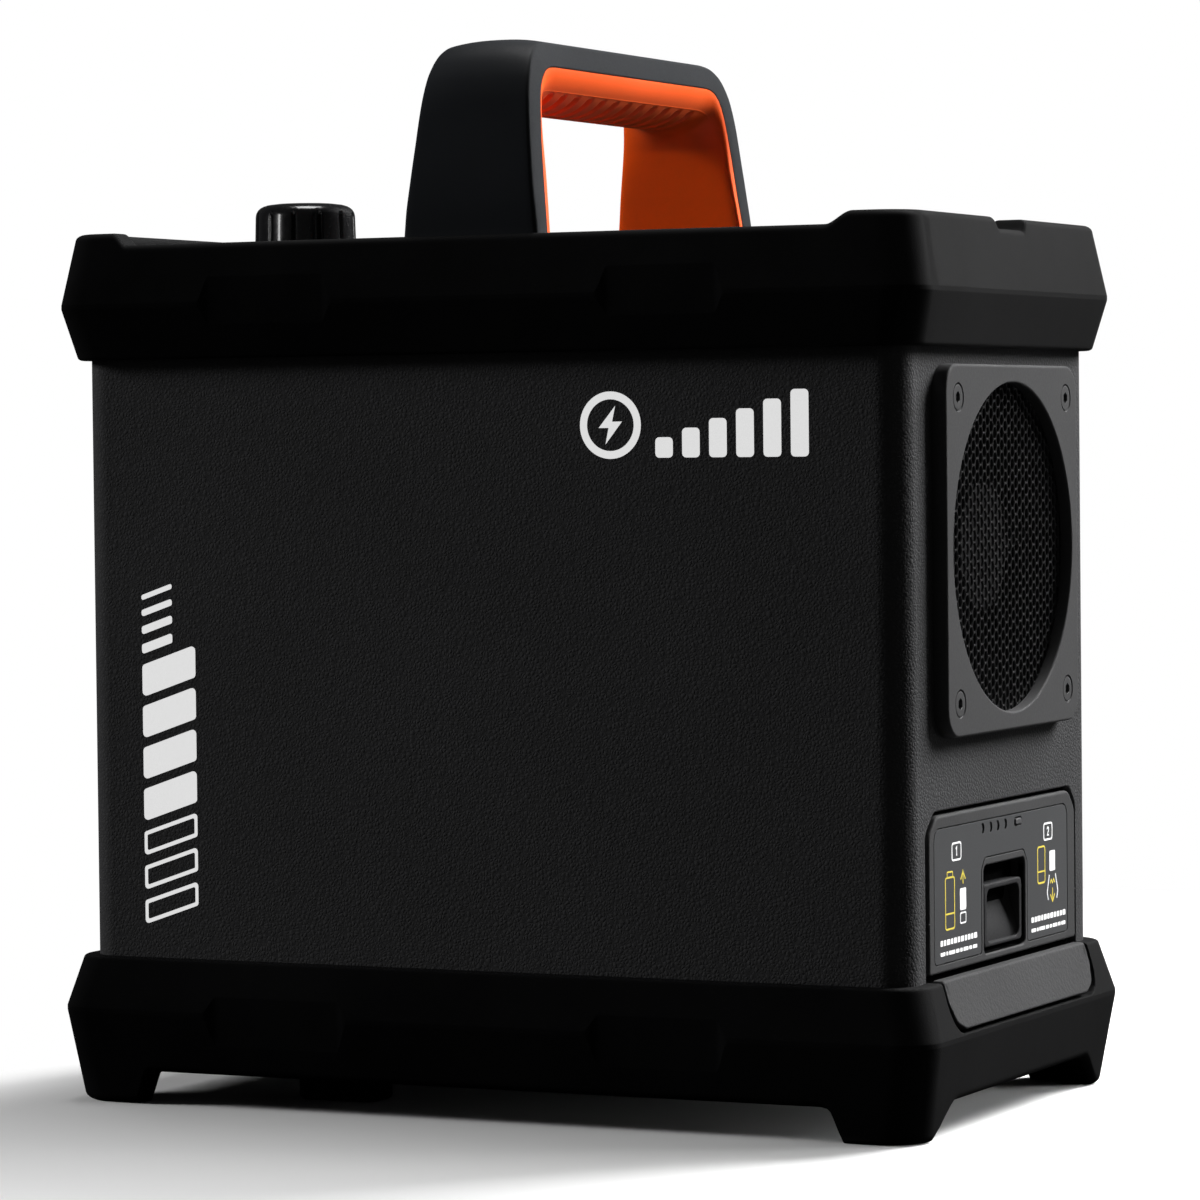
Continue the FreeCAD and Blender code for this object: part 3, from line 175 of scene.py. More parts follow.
def metal(name, color, rough=0.35, brushed=None, cast=False):
    """Bare metal; brushed gives the grain's scale along each axis."""
    g = Graph(name)
    cloud = g.noise(60, detail=4, rough=0.6)
    if brushed:
        fine = g.noise(1, detail=4, rough=0.7, Vector=g.stretched(brushed))
        g.bump(fine, strength=0.25, depth=3e-5)
    elif cast:
        fine = g.noise(500, detail=4, rough=0.65)
        g.bump(fine, strength=0.6, depth=12e-5)
    else:
        fine = g.noise(1500, detail=4, rough=0.65)
        g.bump(fine, strength=0.3, depth=4e-5)
    base = g.shade(cloud, color, low=1 - 0.08, high=1 + 0.08)
    return g.done(base, g.remap(fine, span=(0.2, 0.8), to=(rough - 0.1, rough + 0.12)), metal=1)


def rubber(name, color, rough=0.72, depth=6e-5):
    g = Graph(name)
    cloud = g.noise(22, detail=5, rough=0.6)
    fine = g.noise(2300, rough=0.65)
    pores = g.voronoi(1500)
    base = g.shade(g.remap(cloud), color, low=0.6, high=1.5)
    # paler convex edges: part rubbing wear, part a painted highlight
    base = g.worn_and_lit_edges(base, tint(color, 2.2), wear_and_sheen=0.5, span=(0.505, 0.6))
    g.bump(fine, strength=0.6, depth=depth)
    g.bump(pores, strength=0.12, depth=depth)
    return g.done(base, g.around(cloud, middle=rough, reach=0.07), spec=0.16)


def coat(name):
    """Leather-grain coat: small rounded pebbles with fine creases between them."""
    g = Graph(name)
    # Coordinates pushed about by noise, for an uneven grain
    push = g.node("TexNoise", {"Vector": g.coords, "Scale": 320, "Detail": 2}).outputs["Color"]
    push = g.node("VectorMath", {0: push, 1: (0.5, 0.5, 0.5)}, operation="SUBTRACT").outputs[0]
    push = g.node("VectorMath", {0: push, "Scale": 0.0009}, operation="SCALE").outputs[0]
    warped = g.node("VectorMath", {0: g.coords, 1: push}, operation="ADD").outputs[0]
    pebbles = g.voronoi(980, "SMOOTH_F1", Vector=warped, Smoothness=0.55)
    creases = g.voronoi(980, "DISTANCE_TO_EDGE", Vector=warped)
    fine = g.noise(2600, rough=0.6)
    patch = g.noise(18, detail=5, rough=0.62)
    small = g.noise(420, rough=0.6)
    base = g.mix(patch, (0.0374, 0.0374, 0.0382), (0.0544, 0.0544, 0.0561))
    # painted shade: the creases between the pebbles are darkened in colour
    flat = g.remap(creases, span=(0, 0.16), to=(0.55, 1))
    base = g.mix(flat, (0.0221, 0.0221, 0.0229), base)
    base = g.mix(g.remap(small, span=(0.45, 0.75), to=(0, 0.22)), base, (0.0765, 0.0765, 0.0799))
    height = g.calc("SUBTRACT", g.remap(creases, span=(0, 0.35)),
                    g.calc("MULTIPLY", pebbles, 0.6))
    g.bump(height, strength=0.42, depth=18e-5)
    g.bump(fine, strength=0.2, depth=4e-5)
    roughness = g.calc("ADD", g.remap(patch, to=(0.5, 0.6)), g.around(fine, middle=0, reach=0.05))
    return g.done(base, roughness, spec=0.4)


def painted(name, color, rough=0.42):
    """Powder-painted metal with a fine sand texture."""
    g = Graph(name)
    fine = g.noise(1300, detail=4, rough=0.7)
    cloud = g.noise(28, detail=4, rough=0.6)
    base = g.shade(cloud, color, low=0.9, high=1.1)
    base = g.mix(g.remap(fine, span=(0.5, 0.75), to=(0, 0.25)), base, tint(color, 1.7))
    g.bump(fine, strength=0.4, depth=5e-5)
    return g.done(base, g.remap(fine, to=(rough - 0.08, rough + 0.1)))


def elastomer(name, color, rough):
    """Soft elastomer with a silky sheen."""
    g = Graph(name)
    cloud = g.noise(40, detail=4, rough=0.6)
    fine = g.noise(2200, rough=0.6)
    flow = g.noise(1, rough=0.6, Vector=g.stretched((900, 120, 900)))
    base = g.shade(cloud, color, low=0.9, high=1.08)
    base = g.mix(g.remap(flow, span=(0.45, 0.75), to=(0, 0.12)), base, tint(color, 0.72))
    g.bump(fine, strength=0.3, depth=5e-5)
    g.bump(flow, strength=0.08, depth=5e-5)
    return g.done(base, g.remap(cloud, to=(rough - 0.05, rough + 0.06)), spec=0.3,
                  Sheen_Weight=0.05, Sheen_Roughness=0.4, Sheen_Tint=(1.0, 0.7, 0.5))


def gloss(name, color, rough):
    """Glossy plastic under a clear coat, with specks of dust."""
    g = Graph(name)
    fine = g.noise(900, detail=2, rough=0.5)
    dust = g.noise(2600, detail=2, rough=0.5)
    base = g.shade(g.noise(50), color, low=0.85, high=1.2)
    base = g.mix(g.remap(dust, span=(0.68, 0.8), to=(0, 0.15)), base, (0.12, 0.12, 0.12))
    g.bump(fine, strength=0.03, depth=3e-5)
    return g.done(base, g.remap(fine, to=(rough, rough + 0.08)), spec=0.6,
                  Coat_Weight=0.6, Coat_Roughness=0.06)


def film(name, color):
    """Printed film with a fine matt texture."""
    g = Graph(name)
    fine = g.noise(3200, detail=2, rough=0.5)
    cloud = g.noise(45, rough=0.5)
    g.bump(fine, strength=0.22, depth=3e-5)
    base = g.shade(cloud, color, low=0.94, high=1.06)
    return g.done(base, g.around(fine, middle=0.5, reach=0.06), spec=0.45)


def ink(name, color, glow=0.0):
    g = Graph(name)
    fine = g.noise(2400, rough=0.6)
    g.bump(fine, strength=0.2, depth=2e-5)
    base = g.shade(g.remap(fine, span=(0.35, 0.65)), color, low=0.86, high=1)
    # glow makes the ink give off light of its own: painted light, the print is no lamp
    return g.done(base, 0.6, spec=0.3, Emission_Color=color, Emission_Strength=glow)


def board(name):
    """Solder mask with tracks under it."""
    g = Graph(name)
    across = g.wave(160, "X", distortion=3)
    upward = g.wave(150, "Z", distortion=3)
    inward = g.wave(150, "Y", distortion=3)
    tracks = g.calc("MULTIPLY", g.remap(across, span=(0.5, 0.55)),
                    g.remap(upward, span=(0.5, 0.55)))
    tracks = g.calc("MULTIPLY", tracks, g.remap(inward, span=(0.35, 0.4)))
    base = g.mix(tracks, (0.006, 0.07, 0.028), (0.02, 0.16, 0.06))
    spots = g.remap(g.voronoi(260), span=(0, 0.12), to=(1, 0))
    base = g.mix(spots, base, (0.55, 0.5, 0.36))
    g.bump(tracks, strength=0.3, depth=8e-5)
    return g.done(base, 0.38)


def shrink_wrap(name, color):
    """Shiny wrap with faint creases."""
    g = Graph(name)
    crease = g.noise(90, detail=5, rough=0.7, Distortion=0.8)
    g.bump(crease, strength=0.25, depth=3e-4)
    return g.done(g.shade(crease, color, low=0.75, high=1.2), g.remap(crease, to=(0.22, 0.4)))


def laminated(name):
    g = Graph(name)
    layers = g.wave(1600, "X", distortion=0.3)
    g.bump(layers, strength=0.5, depth=1e-4)
    return g.done(g.mix(layers, (0.035, 0.034, 0.036), (0.09, 0.088, 0.09)), 0.5)


def cable(name, color):
    g = Graph(name)
    fine = g.noise(700)
    g.bump(fine, strength=0.2, depth=1e-4)
    return g.done(g.shade(fine, color, low=0.8, high=1.15), 0.42)


def display(name):
    """Dark display cover with a faint raster behind it."""
    g = Graph(name)
    raster = g.calc("MULTIPLY", g.wave(1500, "X"), g.wave(1500, "Y"))
    base = g.mix(g.remap(raster, span=(0.1, 0.6)), (0.006, 0.008, 0.01), (0.014, 0.018, 0.022))
    return g.done(base, g.remap(g.noise(300), to=(0.05, 0.12)), spec=0.6,
                  Coat_Weight=0.8, Coat_Roughness=0.03)


def lens(name, color):
    g = Graph(name)
    fine = g.noise(1200, detail=2)
    g.bump(fine, strength=0.1, depth=4e-5)
    return g.done(g.shade(fine, color, low=0.7, high=1.2), 0.18, spec=0.6, Coat_Weight=0.5)


# === Materials, by slot ===
MATS = {
    "shell_coat": coat("shell_coat_grain"),
    "bumper_rubber": rubber("bumper_rubber_matt", (0.0036, 0.0036, 0.0038)),
    "pad_rubber": rubber("pad_rubber_soft", (0.012, 0.012, 0.012), rough=0.85),
    "cover_rubber": rubber("cover_rubber_soft", (0.02, 0.02, 0.021), rough=0.8),
    "key_rubber": rubber("key_rubber_silky", (0.035, 0.036, 0.038), rough=0.55, depth=3e-5),
    "key_orange": elastomer("key_orange_silky", (0.78, 0.13, 0.018), rough=0.5),
    "handle_black": plastic("handle_black_grain", (0.0150, 0.0162, 0.0184), rough=0.5,
                            grain=2000, wear_and_sheen=0.15, spec=0.2),
    "handle_orange": elastomer("handle_orange_soft", (0.82, 0.088, 0.005), rough=0.48),
    "knob_gloss": gloss("knob_gloss_black", (0.003, 0.003, 0.0035), rough=0.2),
    "vent_metal": painted("vent_paint_grey", (0.052, 0.052, 0.053)),
    "mesh_metal": metal("mesh_dark_steel", (0.075, 0.075, 0.077), rough=0.44),
    "fan_plastic": plastic("fan_plastic_black", (0.012, 0.012, 0.013), rough=0.5),
    "battery_plastic": plastic("battery_plastic_grain", (0.047, 0.047, 0.048), grain=1500,
                               depth=6e-5, strength=0.45, wear_and_sheen=0),
    "label_film": film("label_film_grey", (0.054, 0.055, 0.057)),
    "led_lens": lens("led_lens_smoke", (0.012, 0.0125, 0.013)),
    "button_black": plastic("button_grey", (0.06, 0.06, 0.062), rough=0.5),
    "latch_plastic": plastic("latch_plastic_satin", (0.02, 0.02, 0.021), rough=0.45,
                             grain=1500, depth=5e-5, wear_and_sheen=0),
    "pull_bar_plastic": plastic("pull_bar_grain", (0.036, 0.036, 0.037), rough=0.6,
                                grain=850, depth=16e-5, strength=1, wear_and_sheen=0),
    "bay_plastic": plastic("bay_plastic_dark", (0.02, 0.02, 0.021), rough=0.6),
    "socket_plastic": plastic("socket_plastic_dark", (0.016, 0.016, 0.017), rough=0.5),
    "holder_plastic": plastic("holder_plastic_natural", (0.3, 0.3, 0.28)),
    "module_plastic": plastic("module_plastic_dark", (0.03, 0.03, 0.034), rough=0.45),
    "panel_plastic": plastic("panel_plastic_matt", (0.028, 0.028, 0.030), rough=0.6,
                             grain=1600, depth=5e-5, strength=0.4),
    "base_metal": metal("base_plate_zinc", (0.55, 0.55, 0.54), rough=0.4,
                        brushed=(40, 1800, 1800)),
    "post_aluminium": metal("post_aluminium_drawn", (0.6, 0.6, 0.6), brushed=(1800, 1800, 60)),
    "screw_black": metal("screw_black_oxide", (0.07, 0.07, 0.073), rough=0.42),
    "contact_brass": metal("contact_gold_flash", (0.75, 0.55, 0.22), rough=0.25),
    "spring_steel": metal("spring_steel_bright", (0.55, 0.55, 0.56), rough=0.25),
    "rod_steel": metal("rod_steel_ground", (0.62, 0.62, 0.63), rough=0.22,
                       brushed=(60, 2200, 2200)),
    "encoder_metal": metal("encoder_tin_plate", (0.6, 0.6, 0.58), rough=0.3),
    "jack_metal": metal("jack_nickel", (0.62, 0.6, 0.56), rough=0.22),
    "bracket_metal": metal("bracket_zinc", (0.5, 0.5, 0.5), rough=0.38),
    "heat_sink_alu": metal("heat_sink_aluminium", (0.58, 0.58, 0.6), rough=0.4, cast=True),
    "cell_wrap": shrink_wrap("cell_wrap_teal", (0.02, 0.16, 0.2)),
    "can_sleeve": shrink_wrap("can_sleeve_black", (0.02, 0.022, 0.03)),
    "pcb_green": board("pcb_solder_mask"),
    "core_ferrite": laminated("core_ferrite_stack"),
    "cable_red": cable("cable_red_silicone", (0.45, 0.012, 0.01)),
    "cable_black": cable("cable_black_silicone", (0.015, 0.015, 0.015)),
    "lcd_glass": display("lcd_glass_dark"),
    "lcd_housing": metal("lcd_housing_steel", (0.5, 0.5, 0.5)),
}
# near-black and almost without gloss: painted shade for the deep flange behind the latch slot and
# the set-back lower face
PAINTED_SHADE_BLACK = plastic("latch_flange_painted_shade", (0.002, 0.002, 0.002), rough=0.8, spec=0.03, wear_and_sheen=0)
# the white prints glow a little: painted light that keeps them bright whatever the lamps do
INK_WHITE_SELF_LIT = ink("ink_white_print_self_lit", (0.88, 0.88, 0.88), glow=0.62)
INK_LABEL_SELF_LIT = ink("ink_white_label_self_lit", (0.86, 0.86, 0.86), glow=0.25)
INK_YELLOW = ink("ink_yellow_print", (0.80, 0.66, 0.10))
LCD_LIT = ink("lcd_pixels_pale", (0.42, 0.52, 0.55))


# === Outlines in two dimensions ===
def unit(x, y):
    length = math.hypot(x, y) or 1.0
    return x / length, y / length


def ccw(loop):
    area = sum(loop[i - 1][0] * loop[i][1] - loop[i][0] * loop[i - 1][1]
               for i in range(len(loop)))
    return list(loop) if area > 0 else list(reversed(loop))


def cw(loop):
    return list(reversed(ccw(loop)))


def offset(loop, distance):
    """Moves a closed loop to its left."""
    if abs(distance) < 1e-9:
        return list(loop)
    out = []
    for i, (x, y) in enumerate(loop):
        before, after = loop[i - 1], loop[(i + 1) % len(loop)]
        in_x, in_y = unit(x - before[0], y - before[1])
        out_x, out_y = unit(after[0] - x, after[1] - y)
        spread = max(0.35, 1 + in_y * out_y + in_x * out_x)
        out.append((x + distance * (-in_y - out_y) / spread,
                    y + distance * (in_x + out_x) / spread))
    return out


def rounded(points, radii, seg=4, closed=True, holds=None):
    """Rounds corners; the point count doesn't depend on their size.

    holds adds a point on each side of a corner, that far beyond its arc.
    """
    count, out = len(points), []
    if not isinstance(radii, (list, tuple)):
        radii = [radii] * count
    for i, (x, y) in enumerate(points):
        if radii[i] <= 0 or (not closed and i in (0, count - 1)):
            out.append((x, y))
            continue
        before, after = points[i - 1], points[(i + 1) % count]
        back_len = math.hypot(before[0] - x, before[1] - y)
        ahead_len = math.hypot(after[0] - x, after[1] - y)
        back = unit(before[0] - x, before[1] - y)
        ahead = unit(after[0] - x, after[1] - y)
        half = math.acos(max(-1.0, min(1.0, back[0] * ahead[0] + back[1] * ahead[1]))) / 2
        straight = half > math.pi / 2 - 1e-4
        if straight:
            cut = min(0.2 * back_len, 0.2 * ahead_len, 0.2)
        else:
            cut = min(radii[i] / math.tan(half), 0.46 * back_len, 0.46 * ahead_len)
        hold = holds[i] if holds else 0
        if hold > 0:
            reach = min(cut + hold, 0.49 * back_len)
            out.append((x + back[0] * reach, y + back[1] * reach))
        start = (x + back[0] * cut, y + back[1] * cut)
        end = (x + ahead[0] * cut, y + ahead[1] * cut)
        if straight:
            for k in range(seg + 1):
                share = k / seg
                out.append((start[0] * (1 - share) + end[0] * share,
                            start[1] * (1 - share) + end[1] * share))
        else:
            radius = cut * math.tan(half)
            middle = unit(back[0] + ahead[0], back[1] + ahead[1])
            away = radius / math.sin(half)
            cx, cy = x + middle[0] * away, y + middle[1] * away
            first = math.atan2(start[1] - cy, start[0] - cx)
            last = math.atan2(end[1] - cy, end[0] - cx)
            turn = (last - first + math.pi) % (2 * math.pi) - math.pi
            out += arc(cx, cy, radius, [first + turn * k / seg for k in range(seg + 1)])
        if hold > 0:
            reach = min(cut + hold, 0.49 * ahead_len)
            out.append((x + ahead[0] * reach, y + ahead[1] * reach))
    return out


def box(x0, y0, x1, y1, radius, seg=4):
    return rounded([(x0, y0), (x1, y0), (x1, y1), (x0, y1)], radius, seg)


def mid_box(x, y, half_x, half_y, radius, seg=6):
    return box(x - half_x, y - half_y, x + half_x, y + half_y, radius, seg)


def arc(x, y, radius, angles):
    return [(x + radius * math.cos(t), y + radius * math.sin(t)) for t in angles]


def circle(x, y, radius, count=48):
    return arc(x, y, radius, [2 * math.pi * k / count for k in range(count)])


def steps(low, high, top=0.0, bottom=0.0, seg=3, hold=0.08):
    """(inset, height) pairs of a wall, with rounded rims of the given radii."""
    bend = [math.pi / 2 * k / seg for k in range(seg + 1)]
    out = [(0.0, low)]
    if bottom > 0:
        out = [(bottom + hold, low)]
        out += [(bottom * (1 - math.sin(t)), low + bottom * (1 - math.cos(t))) for t in bend]
    if top > 0:
        out += [(top * (1 - math.cos(t)), high - top + top * math.sin(t)) for t in bend]
        return out + [(top + hold, high)]
    return out + [(0.0, high)]


def triangles(loops):
    vectors = [[Vector((x, y, 0.0)) for x, y in loop] for loop in loops]
    return [tuple(face) for face in tessellate_polygon(vectors)]


def smooth(x, low, high):
    share = min(1.0, max(0.0, (x - low) / (high - low)))
    return share * share * (3 - 2 * share)


def interp(x, table):
    return float(np.interp(x, [row[0] for row in table], [row[1] for row in table]))


def both(values):
    return [sign * x for sign in (-1, 1) for x in values]


# === Solids ===
# Each placing function lays an outline (a, b) and a height on a side of the pack.
def on_right(a, b, height):  # outward is +X, a is Y, b is Z
    return (height, a, b)


def on_left(a, b, height):  # outward is -X
    return (-height, a, b)


def on_front(a, b, height):  # outward is -Y, a is X, b is Z
    return (a, -height, b)


def on_top(a, b, height):  # outward is +Z, a is X, b is Y
    return (a, b, height)


class Solid:
    """Collects the faces of one piece. low and high are the heights of flat marks."""

    def __init__(self, place=on_top, low=0.0, high=0.0):
        self.points, self.faces, self.slots = [], [], []
        self.place, self.low, self.high = place, low, high

    def add(self, points, faces, mat=0):
        start = len(self.points)
        self.points += points
        self.faces += [[i + start for i in face] for face in faces]
        self.slots += [mat] * len(faces)

    def grid(self, rows, wrap_i=False, wrap_j=False, mat=0):
        high, wide = len(rows), len(rows[0])
        faces = []
        for i in range(high if wrap_i else high - 1):
            this, above = i * wide, (i + 1) % high * wide
            for j in range(wide if wrap_j else wide - 1):
                after = (j + 1) % wide
                faces.append((this + j, this + after, above + after, above + j))
        self.add([point for row in rows for point in row], faces, mat)

    def tube(self, rows, closed_start=True):
        self.grid(rows, wrap_j=True)
        for ring in (rows[0], rows[-1]) if closed_start else (rows[-1],):
            self.add(ring, [range(len(ring))])

    def side(self, loop, profile, mat=0):
        """Wall round a loop. Returns its first and last outlines."""
        rings = [offset(loop, inset) for inset, _ in profile]
        self.grid([[self.place(a, b, height) for a, b in ring]
                   for ring, (_, height) in zip(rings, profile)], wrap_j=True, mat=mat)
        return rings[0], rings[-1]

    def face(self, loops, height, mat=0):
        points = [self.place(a, b, height) for loop in loops for a, b in loop]
        self.add(points, triangles(loops), mat)

    def prism(self, outer, profile, holes=(), hole_profiles=None, mat=0):
        """Closed solid; profiles are (inset, height) pairs for the outline and each hole."""
        loops = [ccw(outer)] + [cw(hole) for hole in holes]
        profiles = [profile] + (hole_profiles or [profile] * len(holes))
        ends = [self.side(loop, wall, mat) for loop, wall in zip(loops, profiles)]
        for end in (0, -1):
            self.face([pair[end] for pair in ends], profile[end][1], mat)

    def fill(self, outer, *holes):
        self.prism(outer, steps(self.low, self.high), holes)

    def line(self, points, width, closed=False):
        """A line of even width."""
        half = width / 2
        if closed:
            loop = ccw(points)
            self.fill(offset(loop, -half), offset(loop, half))
            return
        left, right, last = [], [], len(points) - 1
        for i, (x, y) in enumerate(points):
            before, after = points[max(i - 1, 0)], points[min(i + 1, last)]
            came = unit(x - before[0], y - before[1])
            goes = unit(after[0] - x, after[1] - y)
            if i == 0:
                came = goes
            if i == last:
                goes = came
            spread = max(0.5, 1 + came[0] * goes[0] + came[1] * goes[1])
            nx, ny = -(came[1] + goes[1]) / spread, (came[0] + goes[0]) / spread
            left.append((x + nx * half, y + ny * half))
            right.append((x - nx * half, y - ny * half))
        self.fill(left + right[::-1])

    def lathe(self, x, y, profile, count, closed_start=True, radius_at=None):
        """Turns (radius, height) pairs about an upright axis."""
        rows = []
        for radius, height in profile:
            row = []
            for k in range(count):
                angle = 2 * math.pi * k / count
                r = radius_at(angle, radius, height) if radius_at else radius
                row.append((x + r * math.cos(angle), y + r * math.sin(angle), height))
            rows.append(row)
        self.tube(rows, closed_start)

    def make(self, name, body, slot, replaces=None, mats=None, angle=35.0, merge=2e-6):
        """Builds the object. angle is where an edge turns sharp, in degrees."""
        bm = bmesh.new()
        verts = [bm.verts.new((x * MM, y * MM, z * MM)) for x, y, z in self.points]
        for face, mat in zip(self.faces, self.slots):
            try:
                bm.faces.new([verts[i] for i in face]).material_index = mat
            except ValueError:  # the same face has been made already
                pass
        bmesh.ops.remove_doubles(bm, verts=bm.verts[:], dist=merge)
        bmesh.ops.dissolve_degenerate(bm, dist=1e-7, edges=bm.edges[:])
        loose = [vert for vert in bm.verts if not vert.link_faces]
        if loose:
            bmesh.ops.delete(bm, geom=loose, context="VERTS")
        bmesh.ops.recalc_face_normals(bm, faces=bm.faces[:])
        mesh = bpy.data.meshes.new(name)
        bm.to_mesh(mesh)
        bm.free()
        mesh.polygons.foreach_set("use_smooth", [True] * len(mesh.polygons))
        mesh.set_sharp_from_angle(angle=math.radians(angle))
        thing = bpy.data.objects.new(name, mesh)
        bpy.context.scene.collection.objects.link(thing)
        for material in mats or [MATS[slot]]:
            mesh.materials.append(material)
        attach(thing, body)
        if replaces:
            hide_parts(replaces)
        return thing


# === Bumpers: a section carried round the sleeve, changing with its station ===
# A station is (side, X or Y) on a straight, or ((X sign, Y sign), degrees) in a corner.
SIDES = ("front", "right", "back", "left")
CORNERS = ((1, -1), (1, 1), (-1, 1), (-1, -1))


def ring_size(out):
    """Half length, half depth and corner radius of the ring that far outside the sleeve."""
    if out < 0:
        return HALF_X + out * 4 / 3, HALF_Y + out, CORNER + 2.0 * out / 4.5
    if out <= 2.4:
        return HALF_X + out, HALF_Y + out, CORNER + out
    return HALF_X + 2.4 + (out - 2.4) * 4.45 / 3.55, HALF_Y + out, CORNER + 2.4


def ring_stations(x_marks, y_marks, corner=14):
    stations = []
    for i, side in enumerate(SIDES):
        along = sorted(y_marks if i % 2 else x_marks, reverse=i > 1)
        stations += [(side, float(mark)) for mark in along]
        stations += [(CORNERS[i], 90.0 * (i - 1) + 90.0 * k / corner) for k in range(corner + 1)]
    return stations


def ring_point(station, out, z):
    side, mark = station
    half_x, half_y, radius = ring_size(out)
    straight = {"front": (mark, -half_y), "right": (half_x, mark),
                "back": (mark, half_y), "left": (-half_x, mark)}
    if side in straight:
        return (*straight[side], z)
    angle = math.radians(mark)
    return (side[0] * (half_x - radius) + radius * math.cos(angle),
            side[1] * (half_y - radius) + radius * math.sin(angle), z)


def spaced(reach, pitch, features):
    """Even marks from -reach to reach, giving way to the feature marks."""
    out = []
    for x in sorted(list(np.arange(-reach, reach + 1e-6, pitch)) + list(features)):
        if not out or x - out[-1] > 0.005:
            out.append(x)
    return [x for x in out if x in features or all(abs(x - mark) > 0.9 for mark in features)]


def pad_share(x, pads):
    return max(min(smooth(x, a, b), 1 - smooth(x, c, d)) for a, b, c, d in pads)


def pad_marks(pads):
    return [x for a, b, c, d in pads for x in [*np.linspace(a, b, 7), *np.linspace(c, d, 7)]]


def ridge(reach, z, slope_below, slope_above, pad):
    """The flat cut along the ridge: how far out it is, and its low and high edges."""
    cut = reach - 0.10 - 0.98 * pad
    return cut, z - (reach - cut) / slope_below, z + (reach - cut) / slope_above


def bumper(name, replaces, section, x_marks, y_marks):
    piece = Solid()
    piece.grid([[ring_point(station, out, z) for out, z in section(*station)]
                for station in ring_stations(x_marks, y_marks)], wrap_i=True, wrap_j=True)
    piece.make(name, "root", "bumper_rubber", replaces, angle=40)


# Flattened pads on the ridges: X of fade-in start and end, then fade-out start and end
TOP_PADS = [(-79.6, -76.2, -42.6, -38.9), (37.0, 40.6, 69.8, 73.4)]
LOW_PADS = [(-80.4, -76.4, -40.4, -36.6), (32.2, 36.2, 68.8, 72.6)]
TONGUE_GAP = 17.2                # half width of the gap for the handle
TOP_REACH, TOP_RIDGE_Z, TOP_SLOPE = 6.0, 213.3, 0.148


def top_section(side, mark):
    rim, inner, pad = 232.9, -4.5, 0.0
    if side in ("front", "back"):
        rise = smooth(mark, 99.4, 106.6) if mark > 0 else smooth(-mark, 102.4, 106.9)
        rim = 229.6 + 3.3 * rise
        pad = pad_share(mark, TOP_PADS)
        if abs(mark) < TONGUE_GAP:
            inner = -1.85
    elif side == "right":
        rim = 229.9 + 3.0 * smooth(abs(mark), 8.6, 11.8)
    cut, low, high = ridge(TOP_REACH, TOP_RIDGE_Z, 0.204, TOP_SLOPE, pad)
    rim_out = TOP_REACH - TOP_SLOPE * (rim - TOP_RIDGE_Z)
    points = [(-0.12, 199.1), (3.1, 199.1), (cut, low), (cut, high), (rim_out, rim),
              (inner, rim), (inner, 222.05), (-0.12, 222.05)]
    inner_radius = 1.3 if inner < -4 else 0.6
    return rounded(points, [0, 1.0, 1.6, 1.6, 1.7, inner_radius, 0, 0],
                   holds=[0, 0.5, 0.7, 0.7, 0.6, 0.5, 0, 0])


ramps = list(np.linspace(99.2, 106.8, 12)) + list(np.linspace(-106.95, -102.2, 9))
gap_ends = both((TONGUE_GAP - 0.01, TONGUE_GAP + 0.01))
bumper("top_bumper_moulding", "top_bumper", top_section,
       spaced(98.0, 7.0, ramps + pad_marks(TOP_PADS) + gap_ends),
       spaced(54.0, 6.0, both(np.linspace(8.2, 12.2, 9))))

# Underside arches: distance from the middle, height of the lower edge
ARCH_X = [(96.6, 8.9), (98.4, 8.5), (99.5, 7.4), (100.2, 5.6), (101.3, 2.6), (102.4, 0.0)]
ARCH_Y = [(46.6, 8.9), (48.4, 8.4), (50.3, 7.2), (53.4, 4.6), (55.9, 2.4)]
# Recess at +X for the pull bar: distance from the middle, height of the rim
RECESS_HALF = 52.6
RECESS = [(45.0, 25.9), (46.6, 26.1), (48.6, 26.8), (50.4, 28.1), (51.6, 29.8), (52.3, 31.8),
          (RECESS_HALF, 34.2)]
LOW_REACH, LOW_RIDGE_Z, LOW_SLOPE, LOW_RIM = 6.6, 25.2, 0.2286, 39.2


def low_section(side, mark):
    foot, pad, recess, rim = 0.0, 0.0, False, LOW_RIM
    if side in ("front", "back"):
        foot = interp(abs(mark), ARCH_X)
        pad = pad_share(mark, LOW_PADS)
    elif side in ("right", "left"):
        foot = interp(abs(mark), ARCH_Y)
        if side == "right" and abs(mark) < RECESS_HALF:
            recess, rim = True, interp(abs(mark), RECESS)
    cut, low, high = ridge(LOW_REACH, LOW_RIDGE_Z, 0.127, LOW_SLOPE, pad)
    if recess:
        high = min(high, rim - 0.25)
    rim_out = LOW_REACH - LOW_SLOPE * max(0.0, rim - LOW_RIDGE_Z)
    inner = -4.2 if recess else -0.12
    points = [(-4.4, foot), (3.4 + 0.127 * foot, foot), (cut, low), (cut, high),
              (rim_out, rim), (inner, rim), (inner, 12.0), (-4.4, 12.0)]
    upper = [0.3, 0.45] if recess else [1.8, 0.9]
    return rounded(points, [0.8, 2.0, 1.8] + upper + [0, 0, 0],
                   holds=[0.4, 0.6, 0.7, 0.7, 0.5, 0, 0, 0])


arch_x = [row[0] for row in ARCH_X] + [97.5, 99.0, 100.7]
arch_y = [row[0] for row in ARCH_Y + RECESS[:-1]]
arch_y += [RECESS_HALF - 0.01, RECESS_HALF + 0.01, 54.6]
bumper("bottom_bumper_moulding", "bottom_bumper", low_section,
       spaced(103.0, 7.0, both(arch_x) + pad_marks(LOW_PADS)),
       spaced(52.7, 6.0, both(arch_y)))

